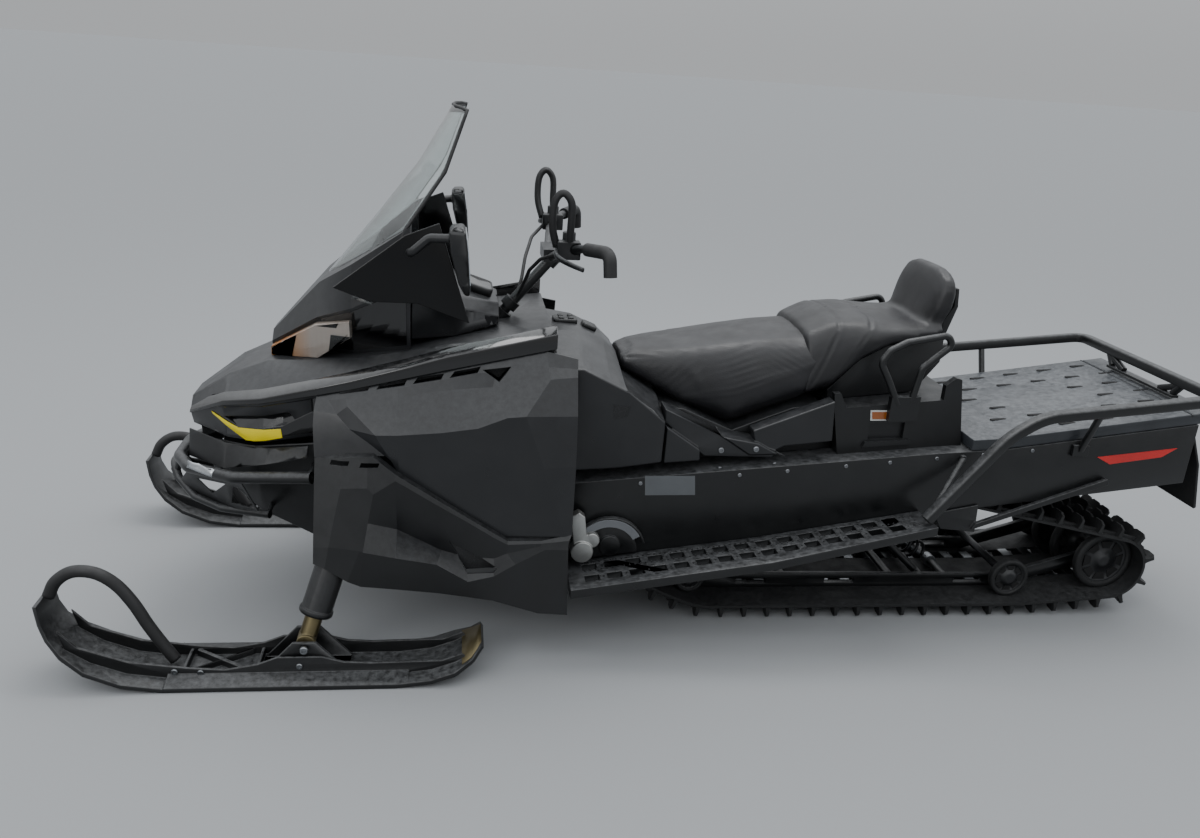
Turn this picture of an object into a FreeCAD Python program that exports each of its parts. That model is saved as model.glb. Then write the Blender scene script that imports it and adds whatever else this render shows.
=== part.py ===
import FreeCAD, Part
import Sketcher
import ast
import math
import operator
import os
import re

# Wide-track utility snowmobile, in millimetres.
# X points forward, Y to the rider's left, Z up; the origin lies on the ground under the
# middle of the machine. Every driving size is a named cell of the sheet "Sizes": a number,
# or a formula of cells above it.

SIZES = {
    # Whole machine
    "half_length": 1640,
    "ski_stance": 940,
    "shield_tall": 1423,
    # Fits between pieces
    "seat_gap": 0.3,
    "run_fit": 0.05,
    # Track and its wheels
    "track_wide": 508,
    "belt_thick": 8,
    "lug_height": 38,
    "lug_count": 54,
    "lug_foot": 15,
    "lug_tip": 8,
    "paddle_inner": 150,
    "paddle_gap": 22,
    "axle_x": 197,
    "axle_z": 274,
    "sprocket_rad": 86,
    "sprocket_wide": 50,
    "sprocket_y": 122,
    "idler_x": -1419,
    "idler_z": 165,
    "idler_rad": 96,
    "carrier_x": -827,
    "carrier_z": 331,
    "carrier_rad": 56,
    "slide_front_x": -141,
    "slide_rear_x": -1119,
    "slide_bend": 244,
    "run_z": "lug_height + belt_thick",
    "wheel_wide": 24,
    "wheel_web": 8,
    "axle_rad": 12,
    # Slide rails and suspension
    "rail_y": 132,
    "rail_wide": 16,
    "rail_tall": 41,
    "slot_long": 96,
    "slot_tall": 15,
    "arm_rad": 13,
    "damper_rad": 21,
    "rod_rad": 7,
    # Tunnel and running boards
    "tunnel_half": 288,
    "sheet_wall": 3,
    "board_half": 470,
    "board_rear_half": 419,
    "board_thick": 26,
    "board_rear_x": -714,
    "tread_pitch": 62,
    "tread_long": 40,
    "tread_wide": 34,
    # Body skins
    "skin": 18,
    "fascia_skin": 9,
    "seam": 4,
    "intake_deep": 26,
    "accent_thick": 3,
    "blade_out": 7,
    # Windshield and its foot on the cowl
    "shield_foot_x": 986,
    "shield_foot_z": 961,
    "shield_foot_slope": 0.75,
    "shield_thick": 5,
    "deflector_thick": 7,
    # Steering
    "post_x": 526,
    "post_z": 837,
    "post_lean": 40,
    "post_long": 236,
    "post_rad": 15,
    "post_room": 44,
    "collar_wall": 11,
    "collar_long": 40,
    "bar_rad": 11,
    "grip_rad": 17,
    # Seats and rear box
    "seat_joint_x": -353,
    "seat_joint_z": 672,
    "seat_joint_lean": 0.33,
    "base_half": 226,
    "box_half": 233,
    "box_front_top": 672,
    "box_rear_top": 702,
    "pillion_base_half": 150,
    "back_top_z": 1058,
    "back_half": 162,
    # Skis and legs
    "ski_half": 105,
    "ski_channel": 48,
    "ski_pivot_x": 1005,
    "ski_pivot_z": 86,
    "ski_tip_z": 216,
    "ski_tail_x": 547,
    "ski_thick": 12,
    "ski_wall": 8,
    "leg_top_x": 883,
    "leg_top_y": 376,
    "leg_top_z": 470,
    "leg_rad": 23,
    "boot_rad": 40,
    "boot_low_z": 150,
    "bolt_rad": 6,
    "handle_rad": 13,
    # Rear frame
    "deck_half": 284,
    "deck_thick": 34,
    "deck_front_x": -845,
    "deck_rear_x": -1589,
    "rack_y": 357,
    "rack_rad": 15,
    "flap_half": 254,
    # Front end and engine
    "bumper_rad": 16,
    "guard_rad": 11,
    "engine_x": 733,
    "engine_long": 395,
    "engine_wide": 376,
    "engine_tall": 310,
    "cradle_tall": 32,
}

COWL_TOP = "shield_foot_z + (shield_foot_x - hood_x%d) * shield_foot_slope - seat_gap"
LAMP_SIDE = ("cowl_lowhalf{0} + 0.4 + (cowl_edgehalf{0} - cowl_lowhalf{0}) * ({1} - cowl_low{0})"
             " / (cowl_edge{0} - cowl_low{0})")
HOOD_EDGE = ("hood_edge{0} + (hood_edge{1} - hood_edge{0}) * (fairing_x{2} - hood_x{0})"
             " / (hood_x{1} - hood_x{0}) - 5")
HOOD_HALF = ("hood_edgehalf{0} + (hood_edgehalf{1} - hood_edgehalf{0}) * (fairing_x{2} - hood_x{0})"
             " / (hood_x{1} - hood_x{0}) + 1")

# Half sections at stations: each row is one station, and the columns are its corners
TABLES = {
    "side": ("x top low", [
        (404, 446, 192),
        (75, 478, 231),
        (-231, 508, 279),
        (-752, 559, 368),
        (-940, 572, 392),
        (-1542, 661, 475)]),
    "hood": ("x low lowhalf edge edgehalf top tophalf", [
        (1354, 530, 60, 575, 89, 609, 52),
        (1241, 528, 165, 635, 193, 691, 103),
        (1133, 540, 232, 664, 264, 738, 130),
        (996, 572, 262, 702, 303, 764, 190),
        (902, 640, 266, 726, 320, 780, 226),
        (752, 718, 268, 766, 333, 812, 252),
        (658, 743, 270, 791, 340, 832, 254),
        (376, 799, 240, 851, 324, 865, 254)]),
    "cowl": ("x low lowhalf edge edgehalf top tophalf", [
        ("hood_x3", "hood_top3 + seat_gap", 47, 773, 58, 799, 30),
        ("hood_x4", "hood_top4 + seat_gap", 103, 874, 179, COWL_TOP % 4, 113),
        ("hood_x5", "hood_top5 + seat_gap", 188, 916, 246, COWL_TOP % 5, 215),
        ("hood_x6", "hood_top6 + seat_gap", 246, 996, 299, COWL_TOP % 6, 290)]),
    "lamp": ("x low top in_low in_top out_low out_top", [
        ("cowl_x1", "cowl_low1", "cowl_low1 + 26", LAMP_SIDE.format(1, "lamp_low1"),
         LAMP_SIDE.format(1, "lamp_top1"), 82, 86),
        ("cowl_x2", "cowl_low2", "cowl_low2 + 96", LAMP_SIDE.format(2, "lamp_low2"),
         LAMP_SIDE.format(2, "lamp_top2"), 188, 211),
        ("cowl_x3", "cowl_low3 + 58", "cowl_low3 + 104", LAMP_SIDE.format(3, "lamp_low3"),
         LAMP_SIDE.format(3, "lamp_top3"), 246, 259)]),
    "dash": ("x low lowhalf top tophalf", [
        ("hood_x6 - seat_gap", "hood_top7 + seat_gap", 222, 968, 196),
        (640, "hood_top7 + 4", 190, 946, 160),
        (520, "hood_top8 - 12", 118, 908, 84)]),
    "fairing": ("x top topy crease creasey mid midy shelf shelfy low lowy", [
        (985, 556, 376, 500, 398, 420, 424, 340, 450, 300, 462),
        (916, 569, 405, 495, 430, 400, 441, 330, 462, 262, 474),
        (865, 574, 414, 499, 438, 380, 438, 336, 464, 228, 456),
        (835, 576, 417, 484, 439, 372, 424, 330, 466, 222, 446),
        (778, 536, 430, 520, 435, 367, 400, 318, 468, 216, 446),
        (668, 463, 433, 450, 437, 312, 406, 299, 466, 204, 446),
        (592, 415, 434, 404, 438, 290, 430, 246, 458, 192, 446),
        (525, 373, 436, 362, 440, 300, 434, 260, 455, 181, 447),
        (491, 352, 436, 343, 440, 300, 438, 276, 452, 170, 447),
        (403, 352, 434, 346, 439, 338, 440, 326, 443, 146, 449),
        (321, 366, 426, 352, 434, 340, 438, 328, 441, 137, 450)]),
    "panel": ("x top topy strip stripy crease creasey mid midy low lowy", [
        ("fairing_x1", HOOD_EDGE.format(4, 5, 1), HOOD_HALF.format(4, 5, 1),
         684, 318, 668, 336, 625, 354, "fairing_top1 + seat_gap", "fairing_topy1"),
        ("fairing_x2", HOOD_EDGE.format(4, 5, 2), HOOD_HALF.format(4, 5, 2),
         702, 334, 684, 348, 640, 378, "fairing_top2 + seat_gap", "fairing_topy2"),
        ("fairing_x3", HOOD_EDGE.format(5, 6, 3), HOOD_HALF.format(5, 6, 3),
         716, 342, 697, 356, 634, 398, "fairing_top3 + seat_gap", "fairing_topy3"),
        ("fairing_x4", HOOD_EDGE.format(5, 6, 4), HOOD_HALF.format(5, 6, 4),
         727, 347, 706, 362, 632, 410, "fairing_top4 + seat_gap", "fairing_topy4"),
        ("fairing_x5", HOOD_EDGE.format(5, 6, 5), HOOD_HALF.format(5, 6, 5),
         738, 350, 720, 365, 638, 418, "fairing_top5 + seat_gap", "fairing_topy5"),
        ("fairing_x6", HOOD_EDGE.format(6, 7, 6), HOOD_HALF.format(6, 7, 6),
         764, 353, 740, 368, 651, 427, "fairing_top6 + seat_gap", "fairing_topy6"),
        ("fairing_x7", HOOD_EDGE.format(7, 8, 7), HOOD_HALF.format(7, 8, 7),
         782, 354, 748, 370, 661, 432, "fairing_top7 + seat_gap", "fairing_topy7"),
        ("fairing_x8", HOOD_EDGE.format(7, 8, 8), HOOD_HALF.format(7, 8, 8),
         790, 354, 753, 372, 684, 434, "fairing_top8 + seat_gap", "fairing_topy8"),
        ("fairing_x9", HOOD_EDGE.format(7, 8, 9), HOOD_HALF.format(7, 8, 9),
         795, 352, 757, 376, 694, 434, "fairing_top9 + seat_gap", "fairing_topy9"),
        ("fairing_x10", HOOD_EDGE.format(7, 8, 10), HOOD_HALF.format(7, 8, 10),
         806, 350, 776, 384, 560, 434, "fairing_top10 + seat_gap", "fairing_topy10"),
        ("fairing_x11", 824, 336, 784, 350, 730, 384, 500, 424,
         "fairing_top11 + seat_gap", "fairing_topy11")]),
    "pan": ("x low lowhalf top tophalf", [
        (1307, 395, 66, 500, 98),
        (1166, 301, 141, 522, 215),
        (996, 246, 207, 560, 282),
        (714, 214, 226, 564, 291),
        ("side_x1 + seat_gap", 202, 235, 564, 291)]),
    "fascia": ("x top topy low lowy", [
        (1366, 516, 64, 441, 84),
        (1246, 518, 178, 452, 206),
        (1120, 530, 247, 496, 280),
        (1012, 556, 292, 536, 326)]),
    "cover": ("x low lowhalf mid midhalf top tophalf", [
        ("hood_x8 - seat_gap", 489, 290, 790, 313, 846, 130),
        (300, 494, 292, 790, 313, 842, 96),
        (224, 500, 294, 752, 312, 812, 74),
        (182, 504, 294, 732, 310, 776, 60),
        (175, 505, 294, 729, 308, 731, 150),
        (66, 520, 290, 640, 298, 672, 150)]),
    "shield": ("z mid midy side sidey centre", [
        (940, 963, 155, 851, 301, 1002),
        ("940 + 0.389 * (shield_tall - 940)", 827, 146, 763, 278, 851),
        ("940 + 0.681 * (shield_tall - 940)", 722, 132, 669, 246, 743),
        ("shield_tall", 647, 103, 616, 199, 654)]),
    "mirror": ("z front rear in_y out_y", [
        (988, 616, 604, 345, 384),
        (1020, 632, 604, 322, 404),
        (1100, 652, 610, 310, 424),
        (1148, 656, 616, 318, 420),
        (1160, 648, 622, 334, 404)]),
    "seat": ("x low lowhalf mid midhalf high highhalf top tophalf", [
        (172, 733, 88, 748, 104, 766, 98, 776, 55),
        (-7, 646, 158, 660, 172, 786, 150, 796, 84),
        (-154, 583, 186, 692, 196, 812, 162, 824, 92),
        (-256, 627, 194, 744, 200, 826, 166, 840, 95),
        (-440, 708, 200, 806, 200, 846, 170, 858, 95)]),
    "pillion": ("x low lowhalf mid midhalf high highhalf top tophalf", [
        (-340, 672, 194, 716, 203, 846, 160, 858, 82),
        (-430, 698, 198, 780, 205, 884, 168, 897, 95),
        (-520, 792, 192, 842, 200, 894, 176, 908, 105),
        (-600, 838, 184, 862, 192, 890, 178, 905, 110),
        (-770, 872, 168, 882, 176, 890, 166, 896, 112)]),
    "back": ("z front rear half corner", [
        ("pillion_top4 + 1", -704, -770, "back_half - 22", 40),
        (950, -716, -796, "back_half", 44),
        (1004, -728, -792, "back_half - 6", 46),
        (1040, -738, -780, "back_half - 32", 40),
        ("back_top_z", -742, -774, "back_half - 92", 18)]),
}

sheet_rows = []
columns_of = {}
count_of = {}
formulas = {}
doc = FreeCAD.newDocument("Snowmobile")
sheet = doc.addObject("Spreadsheet::Sheet", "Sizes")


def add_size(name, number):
    """One cell of the sheet with its alias; text is a formula of earlier cells."""
    row = str(len(sheet_rows) + 1)
    sheet.set("A" + row, name)
    sheet.set("B" + row, "=" + number if isinstance(number, str) else repr(float(number)))
    sheet.setAlias("B" + row, name)
    sheet_rows.append(name)
    formulas[name] = number


for name, number in SIZES.items():
    add_size(name, number)
for name, (columns, rows) in TABLES.items():
    columns_of[name] = columns.split()
    count_of[name] = len(rows)
    for number, row in enumerate(rows, 1):
        for column, entry in zip(columns_of[name], row):
            add_size("%s_%s%d" % (name, column, number), entry)
doc.recompute()

NAMES = re.compile(r"\b(%s)\b" % "|".join(sorted(sheet_rows, key=len, reverse=True)))
SIGNS = {ast.Add: operator.add, ast.Sub: operator.sub, ast.Mult: operator.mul, ast.Div: operator.truediv}
V3 = FreeCAD.Vector
MIDDLE = V3(0, 0, 0)
SIDEWAYS = V3(0, 1, 0)


def bound(formula):
    """A formula of size names as the expression that the document understands."""
    return NAMES.sub(r"Sizes.\1", str(formula))


def work_out(node):
    """The number that one part of a parsed formula stands for."""
    if isinstance(node, ast.BinOp):
        return SIGNS[type(node.op)](work_out(node.left), work_out(node.right))
    if isinstance(node, ast.UnaryOp):
        return -work_out(node.operand)
    if isinstance(node, ast.Name):
        return val(formulas[node.id])
    return float(node.value)


def val(formula):
    """The present value of a formula of size names."""
    return work_out(ast.parse(str(formula)).body[0].value)


def cell(name, column, number):
    return "%s_%s%d" % (name, column, number)


def rows_of(name):
    """The rows of a table as numbers."""
    return [[val(cell(name, column, number)) for column in columns_of[name]]
            for number in range(1, count_of[name] + 1)]


def tunnel_top(place, number):
    """Formula of a seat on the tunnel's top at a place after its corner of that number."""
    return ("side_top{0} + seat_gap + (side_top{1} - side_top{0}) * (({2}) - side_x{0})"
            " / (side_x{1} - side_x{0})").format(number, number + 1, place)


nodes = {}


def keep(label, item):
    """Names a finished sub-part: its Label is its file's name."""
    item.Label = label
    nodes[label] = item
    return item


def new_body(name):
    body = doc.addObject("PartDesign::Body", name)
    body.AllowCompound = True
    return body


def sketch(body, plane, points, offset=None):
    """A closed polygon whose every corner is tied to the sheet by two dimensions."""
    host = {f.Role: f for f in body.Origin.OriginFeatures}[plane]
    made = body.newObject("Sketcher::SketchObject", body.Name + "_sketch")
    made.AttachmentSupport = [(host, "")]
    made.MapMode = "FlatFace"
    if offset is not None:
        made.setExpression("AttachmentOffset.Base.z", bound(offset))
    spots = [(val(a), val(b)) for a, b in points]
    count = len(spots)
    lines = []
    for i in range(count):
        lines.append(Part.LineSegment(V3(*spots[i], 0), V3(*spots[(i + 1) % count], 0)))
    made.addGeometry(lines, False)
    ties = [Sketcher.Constraint("Coincident", i, 2, (i + 1) % count, 1) for i in range(count)]
    bonds = []
    for i, corner in enumerate(points):
        for kind, formula, spot in zip(("DistanceX", "DistanceY"), corner, spots[i]):
            bonds.append((len(ties), formula))
            ties.append(Sketcher.Constraint(kind, -1, 1, i, 1, spot))
    made.addConstraint(ties)
    for index, formula in bonds:
        made.setExpression("Constraints[%d]" % index, bound(formula))
    return made


def pad(body, profile, length):
    made = body.newObject("PartDesign::Pad", body.Name + "_pad")
    made.Profile = profile
    made.setExpression("Length", bound(length))
    made.Midplane = True
    return made


def pocket(body, profile, length):
    made = body.newObject("PartDesign::Pocket", body.Name + "_pocket")
    made.Profile = profile
    made.setExpression("Length", bound(length))
    made.Midplane = True
    return made


def loft(body, sections):
    made = body.newObject("PartDesign::AdditiveLoft", body.Name + "_loft")
    made.Profile = sections[0]
    made.Sections = sections[1:]
    made.Ruled = True
    return made


def stations(name, table, outline, plane="YZ_Plane", along="x"):
    """A body lofted through the sections of one table."""
    body = new_body(name)
    sections = []
    for number in range(1, count_of[table] + 1):
        corners = outline(lambda column: cell(table, column, number))
        sections.append(sketch(body, plane, corners, cell(table, along, number)))
    loft(body, sections)
    return body


def both_halves(corners):
    """A half section's corners, from low to top, closed by their mirror image."""
    return corners + [("-(%s)" % y, z) for y, z in reversed(corners)]


def mirrored(name, source):
    made = doc.addObject("Part::Mirroring", name)
    made.Source = source
    made.Normal = (0, 1, 0)
    return made


def joined(kind, name, base, tool):
    """A boolean of two objects of the document: Part::Cut or Part::Common."""
    made = doc.addObject(kind, name)
    made.Base = base
    made.Tool = tool
    return made


def plain(name, shape):
    made = doc.addObject("Part::Feature", name)
    made.Shape = shape
    return made


def pair_of(name, item):
    """An object and its mirror image as one compound."""
    made = doc.addObject("Part::Compound", name)
    made.Links = [item, mirrored(name + "_right", item)]
    return keep(name, made)


def cylinder(radius, start, end):
    """A solid cylinder between two points."""
    a, b = V3(*start), V3(*end)
    return Part.makeCylinder(radius, (b - a).Length, a, b - a)


def box(x0, x1, y0, y1, z0, z1):
    return Part.makeBox(x1 - x0, y1 - y0, z1 - z0, V3(x0, y0, z0))


def fused(shapes):
    return shapes[0].multiFuse(shapes[1:]) if len(shapes) > 1 else shapes[0]


def flipped(shape, y=0.0):
    return shape.mirror(V3(0, y, 0), SIDEWAYS)


def both_sides(shape):
    return Part.Compound([shape, flipped(shape)])


def sweep_path(points, bend):
    """Straight runs joined by tangent arcs; each arc fits within its two runs."""
    spots = [V3(*p) for p in points]
    edges = []
    start = spots[0]
    for before, corner, after in zip(spots, spots[1:], spots[2:]):
        a = (before - corner).normalize()
        b = (after - corner).normalize()
        half = a.getAngle(b) / 2.0
        room = 0.45 * min((before - corner).Length, (after - corner).Length)
        back = min(bend / math.tan(half), room)
        first = corner + a * back
        last = corner + b * back
        reach = back * math.tan(half)
        centre = corner + (a + b).normalize() * (reach / math.sin(half))
        middle = centre + (corner - centre).normalize() * reach
        edges.append(Part.LineSegment(start, first).toShape())
        edges.append(Part.Arc(first, middle, last).toShape())
        start = last
    edges.append(Part.LineSegment(start, spots[-1]).toShape())
    return Part.Wire(edges)


def tube(points, radius, bend):
    """A bent bar of round section along a path of runs and arcs."""
    start, second = V3(*points[0]), V3(*points[1])
    ring = Part.Wire([Part.Circle(start, second - start, radius).toShape()])
    return sweep_path(points, bend).makePipeShell([ring], True, True)


def across(points):
    """A path from the left end to the right end, mirrored about the middle plane."""
    return points + [(x, -y, z) for x, y, z in reversed(points)]


def prism(points, y0, y1):
    """A polygon of the XZ plane carried from y0 to y1."""
    corners = [V3(x, y0, z) for x, z in points]
    face = Part.Face(Part.makePolygon(corners + corners[:1]))
    return face.extrude(V3(0, y1 - y0, 0))


def turned(profile, centre):
    """A profile of (radius, y) corners turned about the crosswise axis through a centre."""
    x, y, z = centre
    corners = [V3(x + r, y + off, z) for r, off in profile]
    face = Part.Face(Part.makePolygon(corners + corners[:1]))
    return face.revolve(V3(x, y, z), SIDEWAYS, 360)


gap = val("seat_gap")
wall_reach = val("tunnel_half - sheet_wall") - gap


# Track: one closed belt round its wheels, with three paddles in each row of lugs
def belt_circles():
    """Circles that the belt's inner face wraps, in running order: (x, z, radius)."""
    bend = val("slide_bend")
    return [
        (val("axle_x"), val("axle_z"), val("sprocket_rad")),
        (val("slide_front_x"), val("run_z") + bend, bend),
        (val("slide_rear_x"), val("run_z") + bend, bend),
        (val("idler_x"), val("idler_z"), val("idler_rad")),
        (val("carrier_x"), val("carrier_z"), val("carrier_rad"))]


def belt_path(offset):
    """Points along the belt at an offset outside its inner face, every few degrees."""
    circles = belt_circles()
    tangents = []
    for (x0, z0, r0), (x1, z1, r1) in zip(circles, circles[1:] + circles[:1]):
        far = math.hypot(x1 - x0, z1 - z0)
        tangents.append(math.atan2(z1 - z0, x1 - x0) + math.acos((r0 - r1) / far))
    points = []
    for number, (x, z, r) in enumerate(circles):
        begin = tangents[number - 1]
        turn = -((begin - tangents[number]) % (2 * math.pi))
        steps = max(1, int(math.degrees(abs(turn)) / 9))
        for step in range(steps + 1):
            angle = begin + turn * step / steps
            points.append((x + (r + offset) * math.cos(angle), z + (r + offset) * math.sin(angle)))
    return points


def along(points, distance):
    """The point and direction at a distance along a closed polyline."""
    for a, b in zip(points, points[1:] + points[:1]):
        length = math.hypot(b[0] - a[0], b[1] - a[1])
        if 0 < length and distance <= length:
            ux, uz = (b[0] - a[0]) / length, (b[1] - a[1]) / length
            return a[0] + ux * distance, a[1] + uz * distance, ux, uz
        distance -= length
    return points[0][0], points[0][1], 1.0, 0.0


def closed_length(points):
    return sum(math.hypot(b[0] - a[0], b[1] - a[1]) for a, b in zip(points, points[1:] + points[:1]))


def lug_outline(outer):
    """The belt's outer line with a tapered lug at every pitch."""
    pitch = closed_length(outer) / val("lug_count")
    half_foot, half_tip, tall = val("lug_foot") / 2, val("lug_tip") / 2, val("lug_height")
    marks = []
    travelled = 0.0
    for a, b in zip(outer, outer[1:] + outer[:1]):
        marks.append((travelled, a))
        travelled += math.hypot(b[0] - a[0], b[1] - a[1])
    outline = []
    for number in range(int(val("lug_count"))):
        start, centre, end = number * pitch, (number + 0.5) * pitch, (number + 1) * pitch
        outline += [p for place, p in marks if start <= place < centre - half_foot - 1]
        corners = ((-half_foot, 0), (-half_tip, tall), (half_tip, tall), (half_foot, 0))
        for shift, rise in corners:
            x, z, ux, uz = along(outer, centre + shift)
            outline.append((x - rise * uz, z + rise * ux))
        outline += [p for place, p in marks if centre + half_foot + 1 < place < end]
    return outline


def make_track():
    half = val("track_wide / 2")
    outer = belt_path(val("belt_thick"))
    loop = prism(lug_outline(outer), -half, half)
    loop = loop.cut(prism(belt_path(0.0), -half - 1, half + 1))
    first = val("paddle_inner / 2")
    last = first + val("paddle_gap")
    rim = prism(belt_path(val("belt_thick + lug_height") + 9), first, last).cut(prism(outer, first - 1, last + 1))
    print("belt length", round(closed_length(belt_path(val("belt_thick / 2"))), 1))
    return loop.cut(both_sides(rim))


keep("track", plain("track", make_track()))


# Wheels that ride on the belt: a tyre, a thin web and a hub turned from one profile
def wheel(x, y, z, radius):
    half, web, hub = val("wheel_wide / 2"), val("wheel_web / 2"), val("axle_rad") + 12
    rim = radius * 0.72
    profile = [(0, -half), (hub, -half), (hub, -web), (rim, -web), (rim, -half), (radius, -half),
               (radius, half), (rim, half), (rim, web), (hub, web), (hub, half), (0, half)]
    return turned(profile, (x, y, z))


# The wheel sets from the front: (x, z, radius, places across)
wheel_sets = (
    (-75, val("run_z") + 60, 44, (186,)),
    (-1104, val("run_z") + 62 + gap, 62, (196,)),
    (val("idler_x"), val("idler_z"), val("idler_rad") - 0.4, (56, 188)),
    (val("carrier_x"), val("carrier_z"), val("carrier_rad") - 0.4, (85, 179)))
wheels = []
for x, z, radius, places in wheel_sets:
    reach = wall_reach if x == val("carrier_x") else max(places) + val("wheel_wide / 2")
    group = [cylinder(val("axle_rad"), (x, -reach, z), (x, reach, z))]
    group += [wheel(x, side * place, z, radius) for place in places for side in (1, -1)]
    wheels.append(fused(group))
keep("rail_wheels", plain("rail_wheels", Part.Compound(wheels)))

# Slide rails with lightening slots, bored for the wheel axles, and their cross tubes
rail_z0 = val("run_z") + gap
front_x, rear_x, tall = val("slide_front_x"), val("slide_rear_x"), val("rail_tall")
rail_outline = [
    (front_x + 221, rail_z0 + 111), (front_x + 193, rail_z0 + 120), (front_x + 10, rail_z0 + 8 + tall),
    (rear_x, rail_z0 + tall), (val("idler_x") - 20, val("idler_z") + 22),
    (val("idler_x") - 20, val("idler_z") - 22), (rear_x, rail_z0), (front_x, rail_z0),
    (front_x + 103, rail_z0 + 26)]
cross_places = [(-395, 68), (-752, 68), (-935, 68)]
rail_inner = val("rail_y - rail_wide / 2")
rail_outer = rail_inner + val("rail_wide")
rails = []
for number in range(6):
    slot_x = front_x - 95 - number * 1.5 * val("slot_long")
    low_z = rail_z0 + (tall - val("slot_tall")) / 2
    rails.append((slot_x - val("slot_long"), slot_x, low_z))
rail = prism(rail_outline, rail_inner, rail_outer)
for x0, x1, low_z in rails:
    if all(not x0 - 20 < x < x1 + 20 for x, z in cross_places + [(s[0], s[1]) for s in wheel_sets]):
        rail = rail.cut(box(x0, x1, rail_inner - 1, rail_outer + 1, low_z, low_z + val("slot_tall")))
cross = [cylinder(val("axle_rad"), (x, -rail_outer + 2, z), (x, rail_outer - 2, z)) for x, z in cross_places]
rail_frame = fused([rail, flipped(rail)] + cross)
for x, z, radius, places in wheel_sets:
    rail_frame = rail_frame.cut(cylinder(val("axle_rad + run_fit"), (x, -200, z), (x, 200, z)))
keep("slide_rails", plain("slide_rails", rail_frame))

# Suspension arms from the rails up to the tunnel's walls, and the dampers between them
arm_rad = val("arm_rad")
arm_reach = rail_inner - gap
arm_ends = ((-235, 75, 28, 246), (-846, 75, -611, 290))
arms = []
for x0, z0, x1, z1 in arm_ends:
    group = [cylinder(arm_rad, (x0, -arm_reach, z0), (x0, arm_reach, z0)),
             cylinder(arm_rad, (x1, -wall_reach, z1), (x1, wall_reach, z1))]
    group += [cylinder(arm_rad - 2, (x0, y, z0), (x1, y, z1)) for y in (-94, 94)]
    arms.append(fused(group))
keep("suspension_arms", plain("suspension_arms", Part.Compound(arms)))


def damper(x0, z0, rad0, x1, z1, rad1, y):
    """A damper between two cross tubes: (x0, z0) carries its body's eye, (x1, z1) its rod's."""
    low, high = V3(x0, y, z0), V3(x1, y, z1)
    split = low + (high - low) * 0.58
    shape = [cylinder(val("damper_rad"), low, split), cylinder(val("rod_rad"), split, high)]
    for spot, rad in ((low, rad0), (high, rad1)):
        shape.append(cylinder(rad + 8, spot - SIDEWAYS * 15, spot + SIDEWAYS * 15))
    whole = fused(shape)
    for spot, rad in ((low, rad0), (high, rad1)):
        whole = whole.cut(cylinder(rad + val("run_fit"), spot - SIDEWAYS * 40, spot + SIDEWAYS * 40))
    return whole


keep("shocks", plain("shocks", Part.Compound([
    damper(arm_ends[1][2], arm_ends[1][3], arm_rad, -935, 68, val("axle_rad"), 0),
    damper(arm_ends[0][2], arm_ends[0][3], arm_rad, -395, 68, val("axle_rad"), 0)])))

# Drive axle with its sprockets, between the tunnel's walls
axle_x, axle_z = val("axle_x"), val("axle_z")
axle = [cylinder(16, (axle_x, -wall_reach, axle_z), (axle_x, wall_reach, axle_z))]
half = val("sprocket_wide / 2")
for y in (-val("sprocket_y"), val("sprocket_y")):
    axle.append(cylinder(val("sprocket_rad") - 0.4, (axle_x, y - half, axle_z), (axle_x, y + half, axle_z)))
keep("drive_axle", plain("drive_axle", fused(axle)))

# Tunnel: one bent sheet, open below, with its sloping side plates
body = new_body("tunnel")
last = count_of["side"]
top = [(cell("side", "x", n), cell("side", "top", n)) for n in range(1, last + 1)]
low = [(cell("side", "x", n), cell("side", "low", n)) for n in range(last, 0, -1)]
pad(body, sketch(body, "XZ_Plane", top + low), "2 * tunnel_half")
inner_top = [(a, b + " - sheet_wall") for a, b in top]
inner_low = [(a, b + " - 56") for a, b in low]
inner_top[0] = (top[0][0] + " + 5", inner_top[0][1])
inner_top[-1] = (top[-1][0] + " - 5", inner_top[-1][1])
inner_low[0] = (low[0][0] + " - 5", inner_low[0][1])
inner_low[-1] = (low[-1][0] + " + 5", inner_low[-1][1])
pocket(body, sketch(body, "XZ_Plane", inner_top + inner_low), "2 * (tunnel_half - sheet_wall)")
keep("tunnel", body)

# Running boards along both sides of the tunnel, with two rows of tread openings
body = new_body("board_blank")
rows = []
for place, z, half in (("fairing_x11 - seat_gap", "side_low1 + 10", "board_half"),
                       ("side_x3", "side_low3", "board_half - 10"),
                       ("board_rear_x", "side_low4 - 2", "board_rear_half")):
    rows.append(sketch(body, "YZ_Plane", [
        ("tunnel_half + seat_gap", z + " - board_thick / 2"), (half, z + " - board_thick / 2 + 8"),
        (half, z + " + board_thick / 2 + 8"), ("tunnel_half + seat_gap", z + " + board_thick / 2")], place))
loft(body, rows)
openings = []
start_x, end_x = val("fairing_x11") - 45, val("board_rear_x") + 45
count = int((start_x - end_x) / val("tread_pitch"))
for number in range(count):
    x = start_x - number * val("tread_pitch")
    for share in (0.30, 0.68):
        reach = (start_x - x) / (start_x - end_x)
        outer = val("board_half") + (val("board_rear_half - board_half")) * reach
        y = val("tunnel_half") + (outer - val("tunnel_half")) * share
        openings.append(box(x - val("tread_long"), x, y - val("tread_wide / 2"), y + val("tread_wide / 2"), 0, 500))
pair_of("running_boards", joined("Part::Cut", "board_cut", body, plain("tread", Part.Compound(openings))))


# Hood: the long wedge from the nose to the seat, bored for the steering bearing
def half_outline(c, grow=""):
    return both_halves([(c("lowhalf") + grow, c("low")), (c("edgehalf") + grow, c("edge")),
                        (c("tophalf") + grow, c("top"))])


lean = math.radians(val("post_lean"))
post_dir = V3(-math.sin(lean), 0, math.cos(lean))
post_foot = V3(val("post_x"), 0, val("post_z"))


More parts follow.
